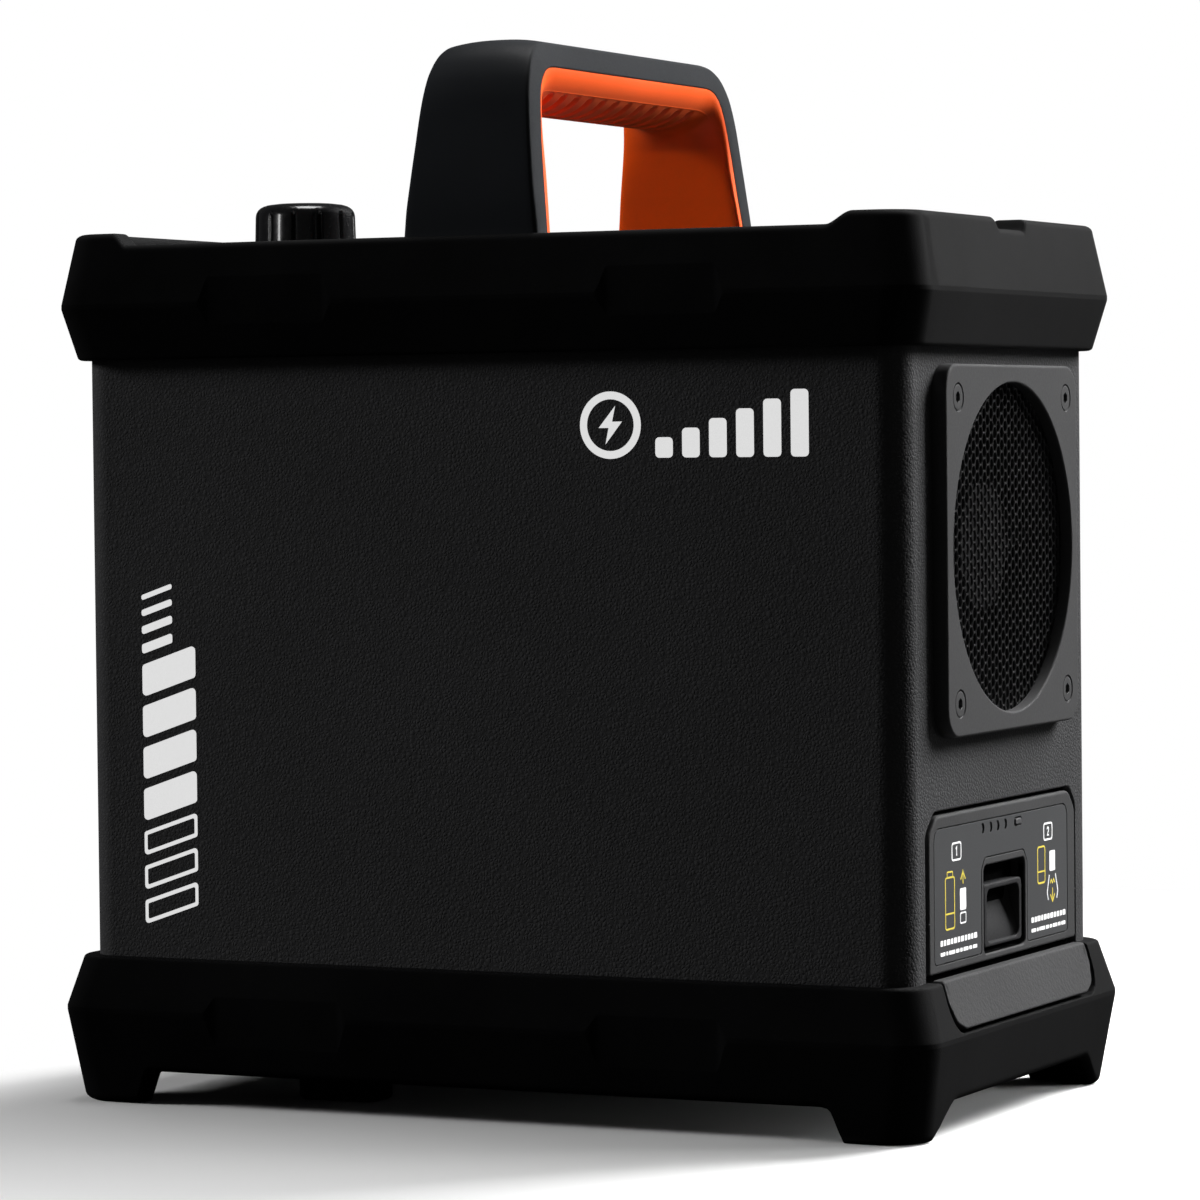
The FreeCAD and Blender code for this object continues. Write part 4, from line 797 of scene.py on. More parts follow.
# === Sleeve: four walls and rounded corners, with the openings cut in ===
flat_x, flat_y = HALF_X - CORNER, HALF_Y - CORNER
battery_hole = rounded([(-53.9, 26.4), (53.9, 26.4), (53.9, 77.0), (49.5, 81.8), (-48.0, 81.8),
                        (-53.9, 76.5)], [0.5, 0.5, 4.0, 4.0, 4.0, 4.0], 6)
vent_slots = [box(y - 2.0, 123.5, y + 2.0, 171.5, 1.9, 5)
              for y in [-36.0 + 9.0 * k for k in range(9)]]
piece = Solid()
for place, holes in ((on_right, [battery_hole, circle(0, VENT_Z, 43.0, 72)]),
                     (on_left, vent_slots)):
    piece.place = place
    wall = [(-flat_y, SLEEVE_LOW), (flat_y, SLEEVE_LOW), (flat_y, PANEL_Z), (-flat_y, PANEL_Z)]
    ends = [piece.side(cw(hole), steps(HALF_X - WALL, HALF_X, top=0.5)) for hole in holes]
    piece.face([wall] + [pair[0] for pair in ends], HALF_X - WALL)
    piece.face([wall] + [pair[1] for pair in ends], HALF_X)
for sign in (-1, 1):
    for inset in (0.0, WALL):
        y = sign * (HALF_Y - inset)
        piece.add([(-flat_x, y, SLEEVE_LOW), (flat_x, y, SLEEVE_LOW),
                   (flat_x, y, PANEL_Z), (-flat_x, y, PANEL_Z)], [(0, 1, 2, 3)])
quarter = np.linspace(0, math.pi / 2, 17)
for sx in (-1, 1):
    for sy in (-1, 1):
        for radius in (CORNER, CORNER - WALL):
            piece.grid([[(sx * (flat_x + radius * math.cos(t)),
                          sy * (flat_y + radius * math.sin(t)), z)
                         for z in (SLEEVE_LOW, PANEL_Z)] for t in quarter])
for z in (SLEEVE_LOW, PANEL_Z):  # end faces of the wall
    rims = []
    for radius in (CORNER, CORNER - WALL):
        rim = []
        for k, (sx, sy) in enumerate(CORNERS):
            for t in quarter:
                turn = t if k % 2 else math.pi / 2 - t
                rim.append((sx * (flat_x + radius * math.cos(turn)),
                            sy * (flat_y + radius * math.sin(turn)), z))
        rims.append(rim)
    piece.grid(rims, wrap_j=True)
piece.make("housing_sleeve", "root", "shell_coat", "housing_shell")

# === Handle strap and its soft liner ===
# Height, half width along X
STRAP_WIDTH = [(222.0, 19.8), (229.0, 19.5), (236.3, 18.8), (243.3, 17.9), (253.2, 16.8),
               (263.1, 15.8), (271.5, 14.9), (277.0, 13.9), (281.0, 12.6)]
# Distance from the middle plane, height: from a foot to the flat run on top
STRAP_OUTER = [(68.6, 229.2), (68.6, 236.3), (68.1, 243.3), (66.9, 253.2), (65.6, 262.0),
               (64.4, 267.0), (62.5, 271.6), (59.3, 275.95), (54.8, 278.75), (48.5, 279.7)]
STRAP_INNER = [(62.3, 229.2), (61.8, 236.3), (60.9, 243.3), (59.8, 253.2), (58.5, 261.0),
               (57.7, 264.6), (56.2, 268.6), (53.6, 271.6), (50.5, 272.9), (47.2, 273.3)]
LINER_INNER = [(59.95, 229.2), (59.35, 236.3), (58.4, 243.3), (57.35, 250.2), (56.6, 254.4),
               (55.9, 257.2), (54.2, 259.6), (51.6, 261.2), (48.3, 261.95), (44.5, 262.2)]
PER_SPAN = [3, 4, 5, 5, 5, 6, 6, 6, 6]   # points in each span of the three lines


def half_line(table):
    """Centripetal Catmull-Rom curve, leaving level at the flat run."""
    points = [np.array(point, float) for point in table]
    points = [2 * points[0] - points[1]] + points + [points[-1] - np.array((8.0, 0.0))]
    curve = []
    for i, count in enumerate(PER_SPAN):
        near, knots = points[i:i + 4], [0.0]
        for start, end in zip(near, near[1:]):
            knots.append(knots[-1] + max(1e-6, np.linalg.norm(end - start)) ** 0.5)
        for k in range(count):
            t = knots[1] + (knots[2] - knots[1]) * k / count

            def blend(start, end, low, high):
                return (high - t) / (high - low) * start + (t - low) / (high - low) * end

            first = [blend(near[j], near[j + 1], knots[j], knots[j + 1]) for j in range(3)]
            second = [blend(first[j], first[j + 1], knots[j], knots[j + 2]) for j in range(2)]
            curve.append(blend(*second, knots[1], knots[2]))
    return [(float(y), float(z)) for y, z in curve + [points[-2]]]


def whole_line(half):
    """From the front foot over the top to the back foot."""
    end_y, end_z = half[-1]
    run = [(end_y * share, end_z) for share in np.linspace(-1, 1, 13)[1:-1]]
    return [(-y, z) for y, z in half] + run + half[::-1]


def strap_width(z):
    return interp(z, STRAP_WIDTH)


outer_half, inner_half, liner_half = map(half_line, (STRAP_OUTER, STRAP_INNER, LINER_INNER))
CROWN_SHARES = (0.86, 0.72, 0.55, 0.36, 0.18, 0.0, -0.18, -0.36, -0.55, -0.72, -0.86)
piece = Solid()
rows = []
for (out_y, out_z), (in_y, in_z) in zip(whole_line(outer_half), whole_line(inner_half)):
    thick = math.hypot(out_y - in_y, out_z - in_z)
    in_w, out_w = strap_width(in_z), strap_width(out_z)
    crown = 0.25 + 1.1 * smooth(out_z, 258.0, 276.0)
    over = [(k * out_w, thick + crown * (1 - abs(k) ** 2.4)) for k in CROWN_SHARES]
    section = rounded([(-in_w, 0.0), (in_w, 0.0), (out_w, thick)] + over + [(-out_w, thick)],
                      [0.45, 0.45, 2.1] + [0] * len(over) + [2.1], 5)
    rows.append([(x, in_y + (out_y - in_y) * h / thick, in_z + (out_z - in_z) * h / thick)
                 for x, h in section])
piece.tube(rows)
for sign in (-1, 1):  # tongues inside the sleeve
    section = mid_box(0, 0, 15.8, 2.0, 0.8, 3)
    piece.tube([[(x, sign * (62.2 + y), z) for x, y in section]
                for z in (198.0, 200.0, 215.0, 229.9)])
piece.make("handle_strap", "root", "handle_black", "handle_frame", angle=38)

GROOVES = [-42.65 + 7.75 * k for k in range(12)]   # Y of each finger groove
SEAMS = (32.0, 148.0)                              # degrees round the liner's section
grip_ys = {round(y, 3) for groove in GROOVES
           for y in np.arange(groove - 2.2, groove + 2.21, 0.4)}
grip_ys |= {round(y, 3) for y in np.arange(-44.2, 44.21, 1.6)}
grip_ys = sorted(y for y in grip_ys if abs(y) < 44.4)
liner_degrees = sorted(list(np.linspace(0, 180, 61))
                       + [seam + d for seam in SEAMS for d in (-1.0, -0.4, 0.0, 0.4, 1.0)])


def groove_depth(y, degrees):
    side = smooth(degrees, 33.5, 43.0) * smooth(180.0 - degrees, 33.5, 43.0)
    if side <= 0:
        return 0.0
    depth = 0.0
    for groove in GROOVES:
        along = y - groove
        if -1.7 < along < 1.7:
            # a long slope towards -Y and a steep one towards +Y
            share = (along + 1.7) / 2.3 if along < 0.6 else (1.7 - along) / 1.1
            depth = max(depth, share ** 0.9)
    return 1.45 * depth * side


def liner_row(seat_y, seat_z, grip_y, grip_z):
    """One section of the liner, from its seat in the strap to the hand's side."""
    thick = math.hypot(grip_y - seat_y, grip_z - seat_z)
    half = strap_width(seat_z) - 0.12
    full = min(1.0, max(0.0, (thick - 2.4) / 8.6))
    power = 2.0 / (2.0 + 6.5 * (1 - full) ** 1.6)   # thin sections are boxier
    row = []
    for degrees in liner_degrees:
        c, s = math.cos(math.radians(degrees)), math.sin(math.radians(degrees))
        x = half * (1 if c >= 0 else -1) * abs(c) ** power
        h = max(0.0, s) ** power
        near = min(abs(degrees - seam) for seam in SEAMS)
        if full > 0.9 and near < 0.9:  # mould seam, a hair proud
            swell = 1 + 0.005 * (1 - near / 0.9)
            x, h = x * swell, h * swell
        depth = groove_depth(grip_y, degrees) if full > 0.95 else 0.0
        y, z = seat_y + (grip_y - seat_y) * h, seat_z + (grip_z - seat_z) * h
        if depth > 0:
            nx, nz = c / half, s / thick
            length = math.hypot(nx, nz)
            x -= depth * nx / length
            z += depth * nz / length
        row.append((x, y, z))
    return row + [(-half * k, seat_y, seat_z) for k in (0.5, 0.0, -0.5)]


(seat_end, seat_top), (grip_end, grip_top) = STRAP_INNER[-1], LINER_INNER[-1]
foot = list(zip(inner_half, liner_half))
stations = [(-a[0], a[1], -b[0], b[1]) for a, b in foot]
stations += [(y * seat_end / grip_end, seat_top, y, grip_top) for y in grip_ys]
stations += [(*a, *b) for a, b in reversed(foot)]
piece = Solid()
piece.tube([liner_row(*station) for station in stations])
piece.make("handle_liner", "root", "handle_orange", "handle_grip", angle=50)


# === Dial ===
def fluted(angle, radius, z):
    """Twelve flutes with shallow hollows between them."""
    if 224.8 < z < 240.6 and radius > 12.5:
        turn = math.degrees(angle) % 30.0
        fade = smooth(z, 224.8, 225.8) * (1 - smooth(z, 239.4, 240.6))
        across = abs(turn - 15.0) / 3.1
        if across < 1:
            radius -= 1.05 * (1 - across * across) * fade
        radius -= 0.16 * (1 - math.cos(math.radians(turn * 12))) * 0.5 * fade
    return radius


# Radius, height: skirt, tapered grip, domed top
DIAL_PROFILE = [(3.0, 223.0), (13.7, 223.0), (14.1, 223.4), (14.2, 224.2), (14.18, 224.8),
                (14.17, 225.3), (14.15, 225.9)]
DIAL_PROFILE += [(14.15 - 0.4 * (z - 226) / 14.0, z) for z in (227.5, 230, 233, 236, 238.0)]
DIAL_PROFILE += [(13.78, 239.0), (13.68, 239.7), (13.45, 240.35), (13.05, 240.95),
                 (12.45, 241.5), (11.6, 241.95), (10.4, 242.3), (8.0, 242.6), (4.0, 242.75),
                 (0.6, 242.8)]
piece = Solid()
piece.lathe(DIAL_X, 0, DIAL_PROFILE, 240, closed_start=False, radius_at=fluted)
piece.lathe(DIAL_X, 0, [(3.0, 223.0), (3.0, 238.0)], 48, closed_start=False)
piece.make("dial_cap", "dial", "knob_gloss", "dial_knob", angle=45)
piece = Solid(on_top, 241.8, 242.78)
piece.fill(box(DIAL_X - 10.6, -0.6, DIAL_X - 5.2, 0.6, 0.55))
piece.make("dial_pointer_mark", "dial", "knob_gloss", mats=[INK_WHITE_SELF_LIT], angle=32)

# === Vent: plate, fine mesh, screws ===
PLATE_BACK, PLATE_FACE = HALF_X, 122.9
SCREW_PITCH = 38.8               # screws from the vent's middle, both ways
vent_screws = [(sy * SCREW_PITCH, VENT_Z + sz * SCREW_PITCH) for sy in (-1, 1) for sz in (-1, 1)]
hole_steps = [(1.9, PLATE_BACK), (1.9, PLATE_BACK + 0.7), (0.0, PLATE_BACK + 0.72)]
hole_steps += steps(PLATE_BACK + 0.8, PLATE_FACE, top=0.55, seg=4)[1:]
sink_steps = [(0.0, PLATE_BACK), (0.0, PLATE_FACE - 2.1), (2.05, PLATE_FACE - 0.12),
              (2.13, PLATE_FACE), (2.2, PLATE_FACE)]
piece = Solid(on_right)
piece.prism(mid_box(0, VENT_Z, 47.3, 47.3, 7.5, 12),
            steps(PLATE_BACK, PLATE_FACE, top=0.7, seg=4),
            [circle(0, VENT_Z, 42.7, 144)] + [circle(y, z, 1.62, 36) for y, z in vent_screws],
            [hole_steps] + [sink_steps] * 4)
piece.make("vent_frame", "root", "vent_metal", "vent_plate")

CELL_Y, CELL_Z, WIRE = 2.52, 3.3, 0.44   # mesh pitches and wire width
MESH_RADIUS, MESH_FACE, MESH_BACK = 44.3, 119.62, 119.05
CELL = [(-CELL_Y / 3, -CELL_Z / 2), (CELL_Y / 3, -CELL_Z / 2), (CELL_Y * 2 / 3, 0),
        (CELL_Y / 3, CELL_Z / 2), (-CELL_Y / 3, CELL_Z / 2), (-CELL_Y * 2 / 3, 0)]
CELL_HOLE = [(y * (1 - WIRE / CELL_Y * 0.92), z * (1 - WIRE / CELL_Z)) for y, z in CELL]


def inside_mesh(y, z):
    """Pulls a point in to the round edge of the mesh."""
    away = math.hypot(y, z - VENT_Z)
    if away <= MESH_RADIUS:
        return (y, z)
    return (y * MESH_RADIUS / away, VENT_Z + (z - VENT_Z) * MESH_RADIUS / away)


def middle(p, q):
    return ((p[0] + q[0]) / 2, (p[1] + q[1]) / 2)


def mesh_cell(piece, cy, cz):
    corners = [inside_mesh(cy + y, cz + z) for y, z in CELL]
    outer, cut = [], []
    for k in range(6):
        after = (k + 1) % 6
        outer += [corners[k], middle(corners[k], corners[after])]
        p, q = CELL_HOLE[k], CELL_HOLE[after]
        cut += [inside_mesh(cy + p[0] + (q[0] - p[0]) * share, cz + p[1] + (q[1] - p[1]) * share)
                for share in (0.22, 0.78)]
    # twelve points of an oval hole, in line with the outer ones
    hole = [middle(cut[k - 1], cut[k]) for k in range(12)]
    between = [(p[0] * 0.55 + q[0] * 0.45, p[1] * 0.55 + q[1] * 0.45)
               for p, q in zip(outer, hole)]
    rings = ((outer, MESH_FACE), (between, MESH_FACE - 0.02), (hole, MESH_FACE - 0.2),
             (hole, MESH_BACK), (outer, MESH_BACK))
    piece.grid([[(x, y, z) for y, z in ring] for ring, x in rings], wrap_j=True)


piece = Solid()
for i in range(-18, 19):
    for j in range(-14, 15):
        cy, cz = i * CELL_Y, VENT_Z + j * CELL_Z + (CELL_Z / 2 if i % 2 else 0.0)
        if math.hypot(cy, cz - VENT_Z) <= MESH_RADIUS - 0.2:
            mesh_cell(piece, cy, cz)
piece.make("vent_mesh_fine", "root", "mesh_metal", "vent_mesh", angle=60, merge=2e-5)


def hexagon(x, y, flats, count=36):
    """Points at even angles round a hexagon, from its width across flats."""
    out = []
    for k in range(count):
        angle = 2 * math.pi * k / count
        turn = (angle + math.pi / 6) % (math.pi / 3) - math.pi / 6
        out += arc(x, y, flats / 2 / math.cos(turn), [angle])
    return out


def socket_screw(piece, x, y, top, radius, head, flats, depth, shank=1.5, length=10.0):
    """Countersunk hex-socket screw, its head's face at height top."""
    rings = [(circle(x, y, r, 36), h) for r, h in (
        (shank * 0.6, top - head - length), (shank, top - head - length + 0.5),
        (shank, top - head), (radius - 0.12, top - 0.14), (radius - 0.1, top - 0.05),
        (radius - 0.22, top), (radius - 0.6, top))]
    rings += [(hexagon(x, y, width), h) for width, h in (
        (flats + 0.25, top), (flats, top - 0.12), (flats, top - depth),
        (flats * 0.2, top - depth - 0.25))]
    piece.tube([[piece.place(a, b, h) for a, b in ring] for ring, h in rings])


piece = Solid(on_right)
for y, z in vent_screws:
    socket_screw(piece, y, z, PLATE_FACE - 0.1, radius=3.38, head=1.8, flats=2.5, depth=1.8)
piece.make("vent_screw_set", "root", "screw_black", "vent_screws", mats=[MATS["vent_metal"]])

piece = Solid()
for x in (-106, 106):
    for y in (-53, 53):
        socket_screw(piece, x, y, PANEL_Z - 0.06, radius=3.1, head=1.55, flats=2.0, depth=1.3)
piece.make("panel_screw_set", "root", "screw_black", "panel_screws")

# === Battery face, at +X ===
FACE, SEAT = 119.4, 118.98       # raised frame, and the seat of the label inside it
PANEL_BACK, LABEL_FACE = 115.4, 119.36
LIGHT_YS = [-15.1, -9.5, -4.4, 1.1]
LIGHT_Z = 75.3
BUTTON_Y = 12.3 - 2.1
face_outline = rounded([(-52.7, 40.75), (52.7, 40.75), (52.7, 75.9), (48.2, 80.8),
                        (-46.9, 80.8), (-52.7, 75.6)], [1.0, 1.0, 4.6, 4.6, 4.6, 4.6], 7)
latch_slot = mid_box(0, 54.15, 14.9, 11.45, 1.9)
button_hole = mid_box(BUTTON_Y - 0.05, LIGHT_Z, 2.65, 1.1, 1.05)
seat_outline = rounded([(-49.3, 42.9), (-16.4, 42.9), (-16.4, 64.4), (-14.0, 67.5),
                        (14.0, 67.5), (16.4, 64.4), (16.4, 42.9), (46.9, 42.9), (46.9, 77.6),
                        (-49.3, 77.6)], [1.6, 1.2, 2.0, 2.0, 2.0, 2.0, 1.2, 1.6, 3.4, 3.4], 5)


def light_outline(y, grow=0.0):
    """One curved charge light, bulging towards +Y."""
    shares = [k / 4 - 1 for k in range(9)]
    half_y, half_z = 0.5 + grow, 1.15 + grow
    return [(y + side + 0.7 * (1 - t * t) - 0.35, LIGHT_Z + half_z * t)
            for side, order in ((half_y, shares), (-half_y, shares[::-1])) for t in order]


piece = Solid(on_right, FACE - 0.3, FACE + 0.02)
# body, up to the seat of the label
piece.prism(face_outline, [(0.25, PANEL_BACK), (0.25, SEAT)],
            [light_outline(y) for y in LIGHT_YS] + [button_hole, latch_slot],
            [steps(PANEL_BACK, SEAT)] * 6)
# raised frame round the label
piece.prism(face_outline, steps(SEAT - 1.5, FACE, top=0.75, seg=5), [seat_outline, latch_slot],
            [steps(SEAT - 1.5, FACE, top=0.12, seg=2), steps(SEAT - 1.5, FACE, top=0.5, seg=4)])
for sign in (-1, 1):  # small split marks at the sides
    piece.line([(sign * 52.9, 53.9), (sign * 50.7, 53.9)], 0.35)
# lower part, set back behind the pull bar, in near-black painted shade
lower = rounded([(-45.0, 27.0), (45.0, 27.0), (51.4, 33.4), (51.4, 41.6), (-51.4, 41.6),
                 (-51.4, 33.4)], [1.2, 1.2, 1.2, 0, 0, 1.2])
piece.prism(lower, steps(PANEL_BACK, 117.5), [circle(y, 31.9, 2.56, 36) for y in (-28.0, 28.0)],
            mat=1)
piece.make("battery_face_frame", "battery", "battery_plastic", "battery_front_panel",
           mats=[MATS["battery_plastic"], PAINTED_SHADE_BLACK])

label = rounded([(-49.02, 43.18), (-16.72, 43.18), (-16.72, 64.5), (-14.15, 67.82),
                 (14.15, 67.82), (16.72, 64.5), (16.72, 43.18), (46.62, 43.18), (46.62, 77.32),
                 (-49.02, 77.32)], [1.4, 1.0, 2.0, 2.0, 2.0, 2.0, 1.0, 1.4, 3.2, 3.2], 5)
piece = Solid(on_right)
piece.prism(label, steps(SEAT, LABEL_FACE, top=0.08, seg=2, hold=0.05),
            [light_outline(y, 0.14) for y in LIGHT_YS] + [offset(cw(button_hole), 0.15)],
            [steps(SEAT, LABEL_FACE, top=0.06, seg=1, hold=0.03)] * 5)
piece.make("battery_label_film", "battery", "label_film", "battery_label")

piece = Solid(on_right)
for y in LIGHT_YS:
    piece.prism(light_outline(y, -0.1), steps(114.9, 119.05, top=0.15, seg=2, hold=0.05))
piece.make("charge_light_lenses", "battery", "led_lens", "charge_leds", angle=50)

piece = Solid(on_right)
piece.prism(mid_box(BUTTON_Y - 0.05, LIGHT_Z, 2.3, 0.8, 0.77), steps(114.6, 119.62, top=0.3))
piece.prism(mid_box(BUTTON_Y, LIGHT_Z, 3.3, 2.1, 0.6, 3), steps(114.0, 115.1))
piece.make("battery_test_cap", "charge_button", "button_black", "battery_test_button")

# Return spring of the latch, built as a fixed coil; on the pack it shortens as the latch goes up
COIL_RADIUS, WIRE_RADIUS, PER_TURN = 2.5, 0.4, 24
coil_steps = PER_TURN * 5 + 10
rows = []
for k in range(coil_steps + 1):
    angle = 2 * math.pi * k / PER_TURN
    row = []
    for j in range(10):
        t = 2 * math.pi * j / 10
        radius = COIL_RADIUS + WIRE_RADIUS * math.cos(t)
        row.append((111.0 + radius * math.cos(angle), radius * math.sin(angle),
                    65.3 + 13.0 * k / coil_steps + WIRE_RADIUS * math.sin(t)))
    rows.append(row)
piece = Solid()
piece.tube(rows)
spring = piece.make("latch_return_spring", "battery", "spring_steel", "latch_spring", angle=50)
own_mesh(spring)

# Label print: step boxes, plain line marks and bars
DIGIT_ONE = [(-0.32, 0.5), (0.1, 0.85), (0.1, -0.9)]
DIGIT_TWO = [(-0.5, 0.42), (-0.38, 0.72), (0, 0.86), (0.4, 0.7), (0.46, 0.34), (0.2, -0.05),
             (-0.5, -0.78), (0.52, -0.78)]
DIGIT_SIZE = 1.25
white, yellow = (Solid(on_right, 119.35, 119.40) for _ in range(2))
for digit, weight, y, z in ((DIGIT_ONE, 0.42, -33.8, 70.9), (DIGIT_TWO, 0.38, 32.2, 70.95)):
    white.line(mid_box(y, z, 3.1, 2.15, 0.8, 4), 0.5, True)
    white.line([(y + a * DIGIT_SIZE, z + b * DIGIT_SIZE) for a, b in digit], weight * DIGIT_SIZE)
# step 1: a battery outline and a white slider that goes up
yellow.line(box(-41.6, 51.5, -35.4, 64.6, 0.8, 3), 0.45, True)
yellow.line(rounded([(-40.4, 64.9), (-40.4, 66.0), (-36.6, 66.0), (-36.6, 64.9)], 0.3, 3,
                    closed=False), 0.4)
yellow.line([(-41.3, 55.4), (-35.7, 55.4)], 0.4)
white.fill(box(-31.6, 55.6, -27.4, 61.2, 0.5, 3))
white.line(box(-31.4, 52.3, -27.6, 54.9, 0.4, 3), 0.4, True)
yellow.line([(-31.1, 63.4), (-29.5, 65.6), (-27.9, 63.4)], 0.45)
yellow.line([(-29.5, 62.3), (-29.5, 65.2)], 0.45)
# step 2: the slider held up, the battery drawn out downwards
yellow.line(box(24.4, 57.6, 29.8, 67.2, 0.8, 3), 0.45, True)
yellow.line([(24.7, 60.6), (29.5, 60.6)], 0.4)
white.fill(box(33.2, 60.2, 37.4, 65.6, 0.5, 3))
for finger in ([(33.0, 59.2), (31.4, 54.6), (32.2, 52.6)],
               [(37.6, 59.2), (39.4, 54.6), (38.6, 52.6)]):
    white.line(rounded(finger, 0.8, closed=False), 0.5)
yellow.line([(33.6, 56.9), (34.5, 57.9), (35.4, 56.9), (36.3, 57.9), (37.2, 56.9)], 0.4)
yellow.line([(35.4, 55.6), (35.4, 52.6)], 0.45)
yellow.line([(33.8, 53.9), (35.4, 52.0), (37.0, 53.9)], 0.45)
# rows of plain bars: height, half thickness, share of the row for each bar
BAR_ROWS = ((48.3, 0.72, (1.7, 1.5, 2.2, 1.4, 1.9, 1.6, 2.1, 1.5, 1.8, 1.4, 2.0)),
            (45.5, 0.48, (2.8, 1.2, 3.6, 2.0, 1.4, 3.0, 1.6, 2.6)))
BAR_GAP = 0.55
for row_y, half_row in ((-32.6, 12.6), (32.2, 12.8)):
    for z, half, shares in BAR_ROWS:
        y = row_y - half_row
        scale = (2 * half_row - BAR_GAP * (len(shares) - 1)) / sum(shares)
        for share in shares:
            white.fill(box(y, z - half, y + share * scale, z + half, 0.3, 3))
            y += share * scale + BAR_GAP
white.make("label_marks_white", "battery", "label_film", mats=[INK_LABEL_SELF_LIT], angle=60)
yellow.make("label_marks_yellow", "battery", "label_film", mats=[INK_YELLOW], angle=60)

# Latch slider: framed, with a scooped thumb dish
LATCH_FACE = 118.9
piece = Solid(on_right)
piece.prism(mid_box(0, 52.3, 13.6, 8.2, 1.5), steps(113.4, LATCH_FACE, top=0.5, seg=4),
            [mid_box(0.1, 52.15, 11.5, 6.85, 2.2)], [steps(113.4, LATCH_FACE, top=0.45)])
dish, back = [], []
for k in range(15):
    z = 44.6 + (59.6 - 44.6) * k / 14
    depth = 1.4 + 2.8 * smooth((z - 44.6) / 15.0, 0.0, 0.95)
    ys = [-12.0 + 24.0 * j / 20 for j in range(21)]
    dish.append([(LATCH_FACE - depth + 1.3 * smooth(abs(y - 0.2), 8.5, 12.0) ** 2, y, z)
                 for y in ys])
    back.append([(113.45, y, z) for y in ys])
piece.grid(dish)
piece.grid(back)
for end in (0, -1):
    piece.grid([dish[end], back[end]])
for end in (0, -1):
    piece.grid([[row[end] for row in dish], [row[end] for row in back]])
# flange behind the slot, tail below it, and a rib at its upper edge, all in near-black painted
# shade
piece.prism(box(-17, 40.5, 17, 64.8, 1.0, 3), steps(112.6, 115.2, top=0.2, bottom=0.2, seg=2),
            mat=1)
piece.prism(box(-5, 29.4, 5, 41.5, 0.8, 3), steps(112.6, 114.6), mat=1)
piece.prism(box(-4, 62.6, 4, 64.8, 0.3, 2), steps(108.4, 113.5), mat=1)
piece.make("battery_latch_slider", "latch", "latch_plastic", "battery_latch",
           mats=[MATS["latch_plastic"], PAINTED_SHADE_BLACK])

# Pull bar, its face sloping with the bumper
BAR_HALF, BAR_BACK = 51.3, 119.7
outline = ccw(rounded([(-BAR_HALF, 39.6), (-BAR_HALF, 34.0), (-BAR_HALF + 2.2, 28.9),
                       (-BAR_HALF + 7.2, 26.9), (BAR_HALF - 7.2, 26.9), (BAR_HALF - 2.2, 28.9),
                       (BAR_HALF, 34.0), (BAR_HALF, 39.6)],
                      [1.0, 3.0, 4.0, 3.0, 3.0, 4.0, 3.0, 1.0], 5))
bends = [math.pi / 2 * k / 5 for k in range(6)]
rim = [(0.6 * (1 - math.cos(t)), -0.6 + 0.6 * math.sin(t)) for t in bends]
rings = [[(BAR_BACK, y, z) for y, z in outline]]
for inset, lift in rim + [(0.75, 0.0), (2.0, 0.0)]:
    ring = offset(outline, inset)
    rings.append([(122.65 + 4.01 / 14.0 * (LOW_RIM - z) - 0.1 + lift, y, z) for y, z in ring])
piece = Solid(on_right)
piece.grid(rings, wrap_j=True)
piece.face([outline], BAR_BACK)
piece.add(rings[-1], triangles([ring]))
piece.make("pull_bar_skin", "pull_bar", "pull_bar_plastic", "battery_pull_bar")

# === Printed marks on the front ===
marks = Solid(on_front, HALF_Y - 0.02, HALF_Y + 0.06)
# upper right: a lightning mark in a ring, then a row of rising bars
RING_X, RING_Z = 38.6, 180.2
marks.fill(circle(RING_X, RING_Z, 8.6, 56), circle(RING_X, RING_Z, 6.6, 56))
marks.fill([(RING_X + x, RING_Z + z) for x, z in (
    (1.4, 4.9), (-3.3, -0.7), (-0.5, -0.7), (-1.4, -4.9), (3.3, 0.9), (0.5, 0.9))])
for k in range(6):
    x = 51.2 + 7.5 * k
    marks.fill(box(x, 171.8, x + 4.9, 171.8 + (5.2 + 2.35 * k), 1.1))


def slanted(x0, x1, z, thick):
    rise = 0.34 * (x1 - x0)
    return [(x0, z), (x1, z + rise), (x1, z + rise + thick), (x0, z + thick)]


# up the left side: slanted bars, outlined, then bold, then short and slim
z = 48.0
for _ in range(3):
    marks.fill(rounded(slanted(-101.0, -84.6, z, 6.4), 0.9),
               rounded(slanted(-100.1, -85.5, z + 1.4, 4.2), 0.4))
    z += 9.2
for _ in range(4):
    marks.fill(rounded(slanted(-101.0, -84.6, z, 8.6), 1.1))
    z += 8.6 + 2.5
for thick in (2.6, 2.2, 1.8, 1.4):
    marks.fill(rounded(slanted(-101.0, -91.6, z + 0.4, thick), 0.6, 3))
    z += thick + 2.6
marks.make("front_print_marks", "root", "shell_coat", mats=[INK_WHITE_SELF_LIT], angle=60)

# === Top panel: printed rings, key caps, display picture ===
KEYS = (  # name, X, Y, slot
    ("menu", -97.0, -30.0, "key_rubber"), ("mode", -76.0, -30.0, "key_rubber"),
    ("sync", -97.0, 30.0, "key_rubber"), ("lamp", -76.0, 30.0, "key_rubber"),
    ("power", -86.5, -46.0, "key_rubber"), ("test", -86.5, 46.0, "key_orange"))

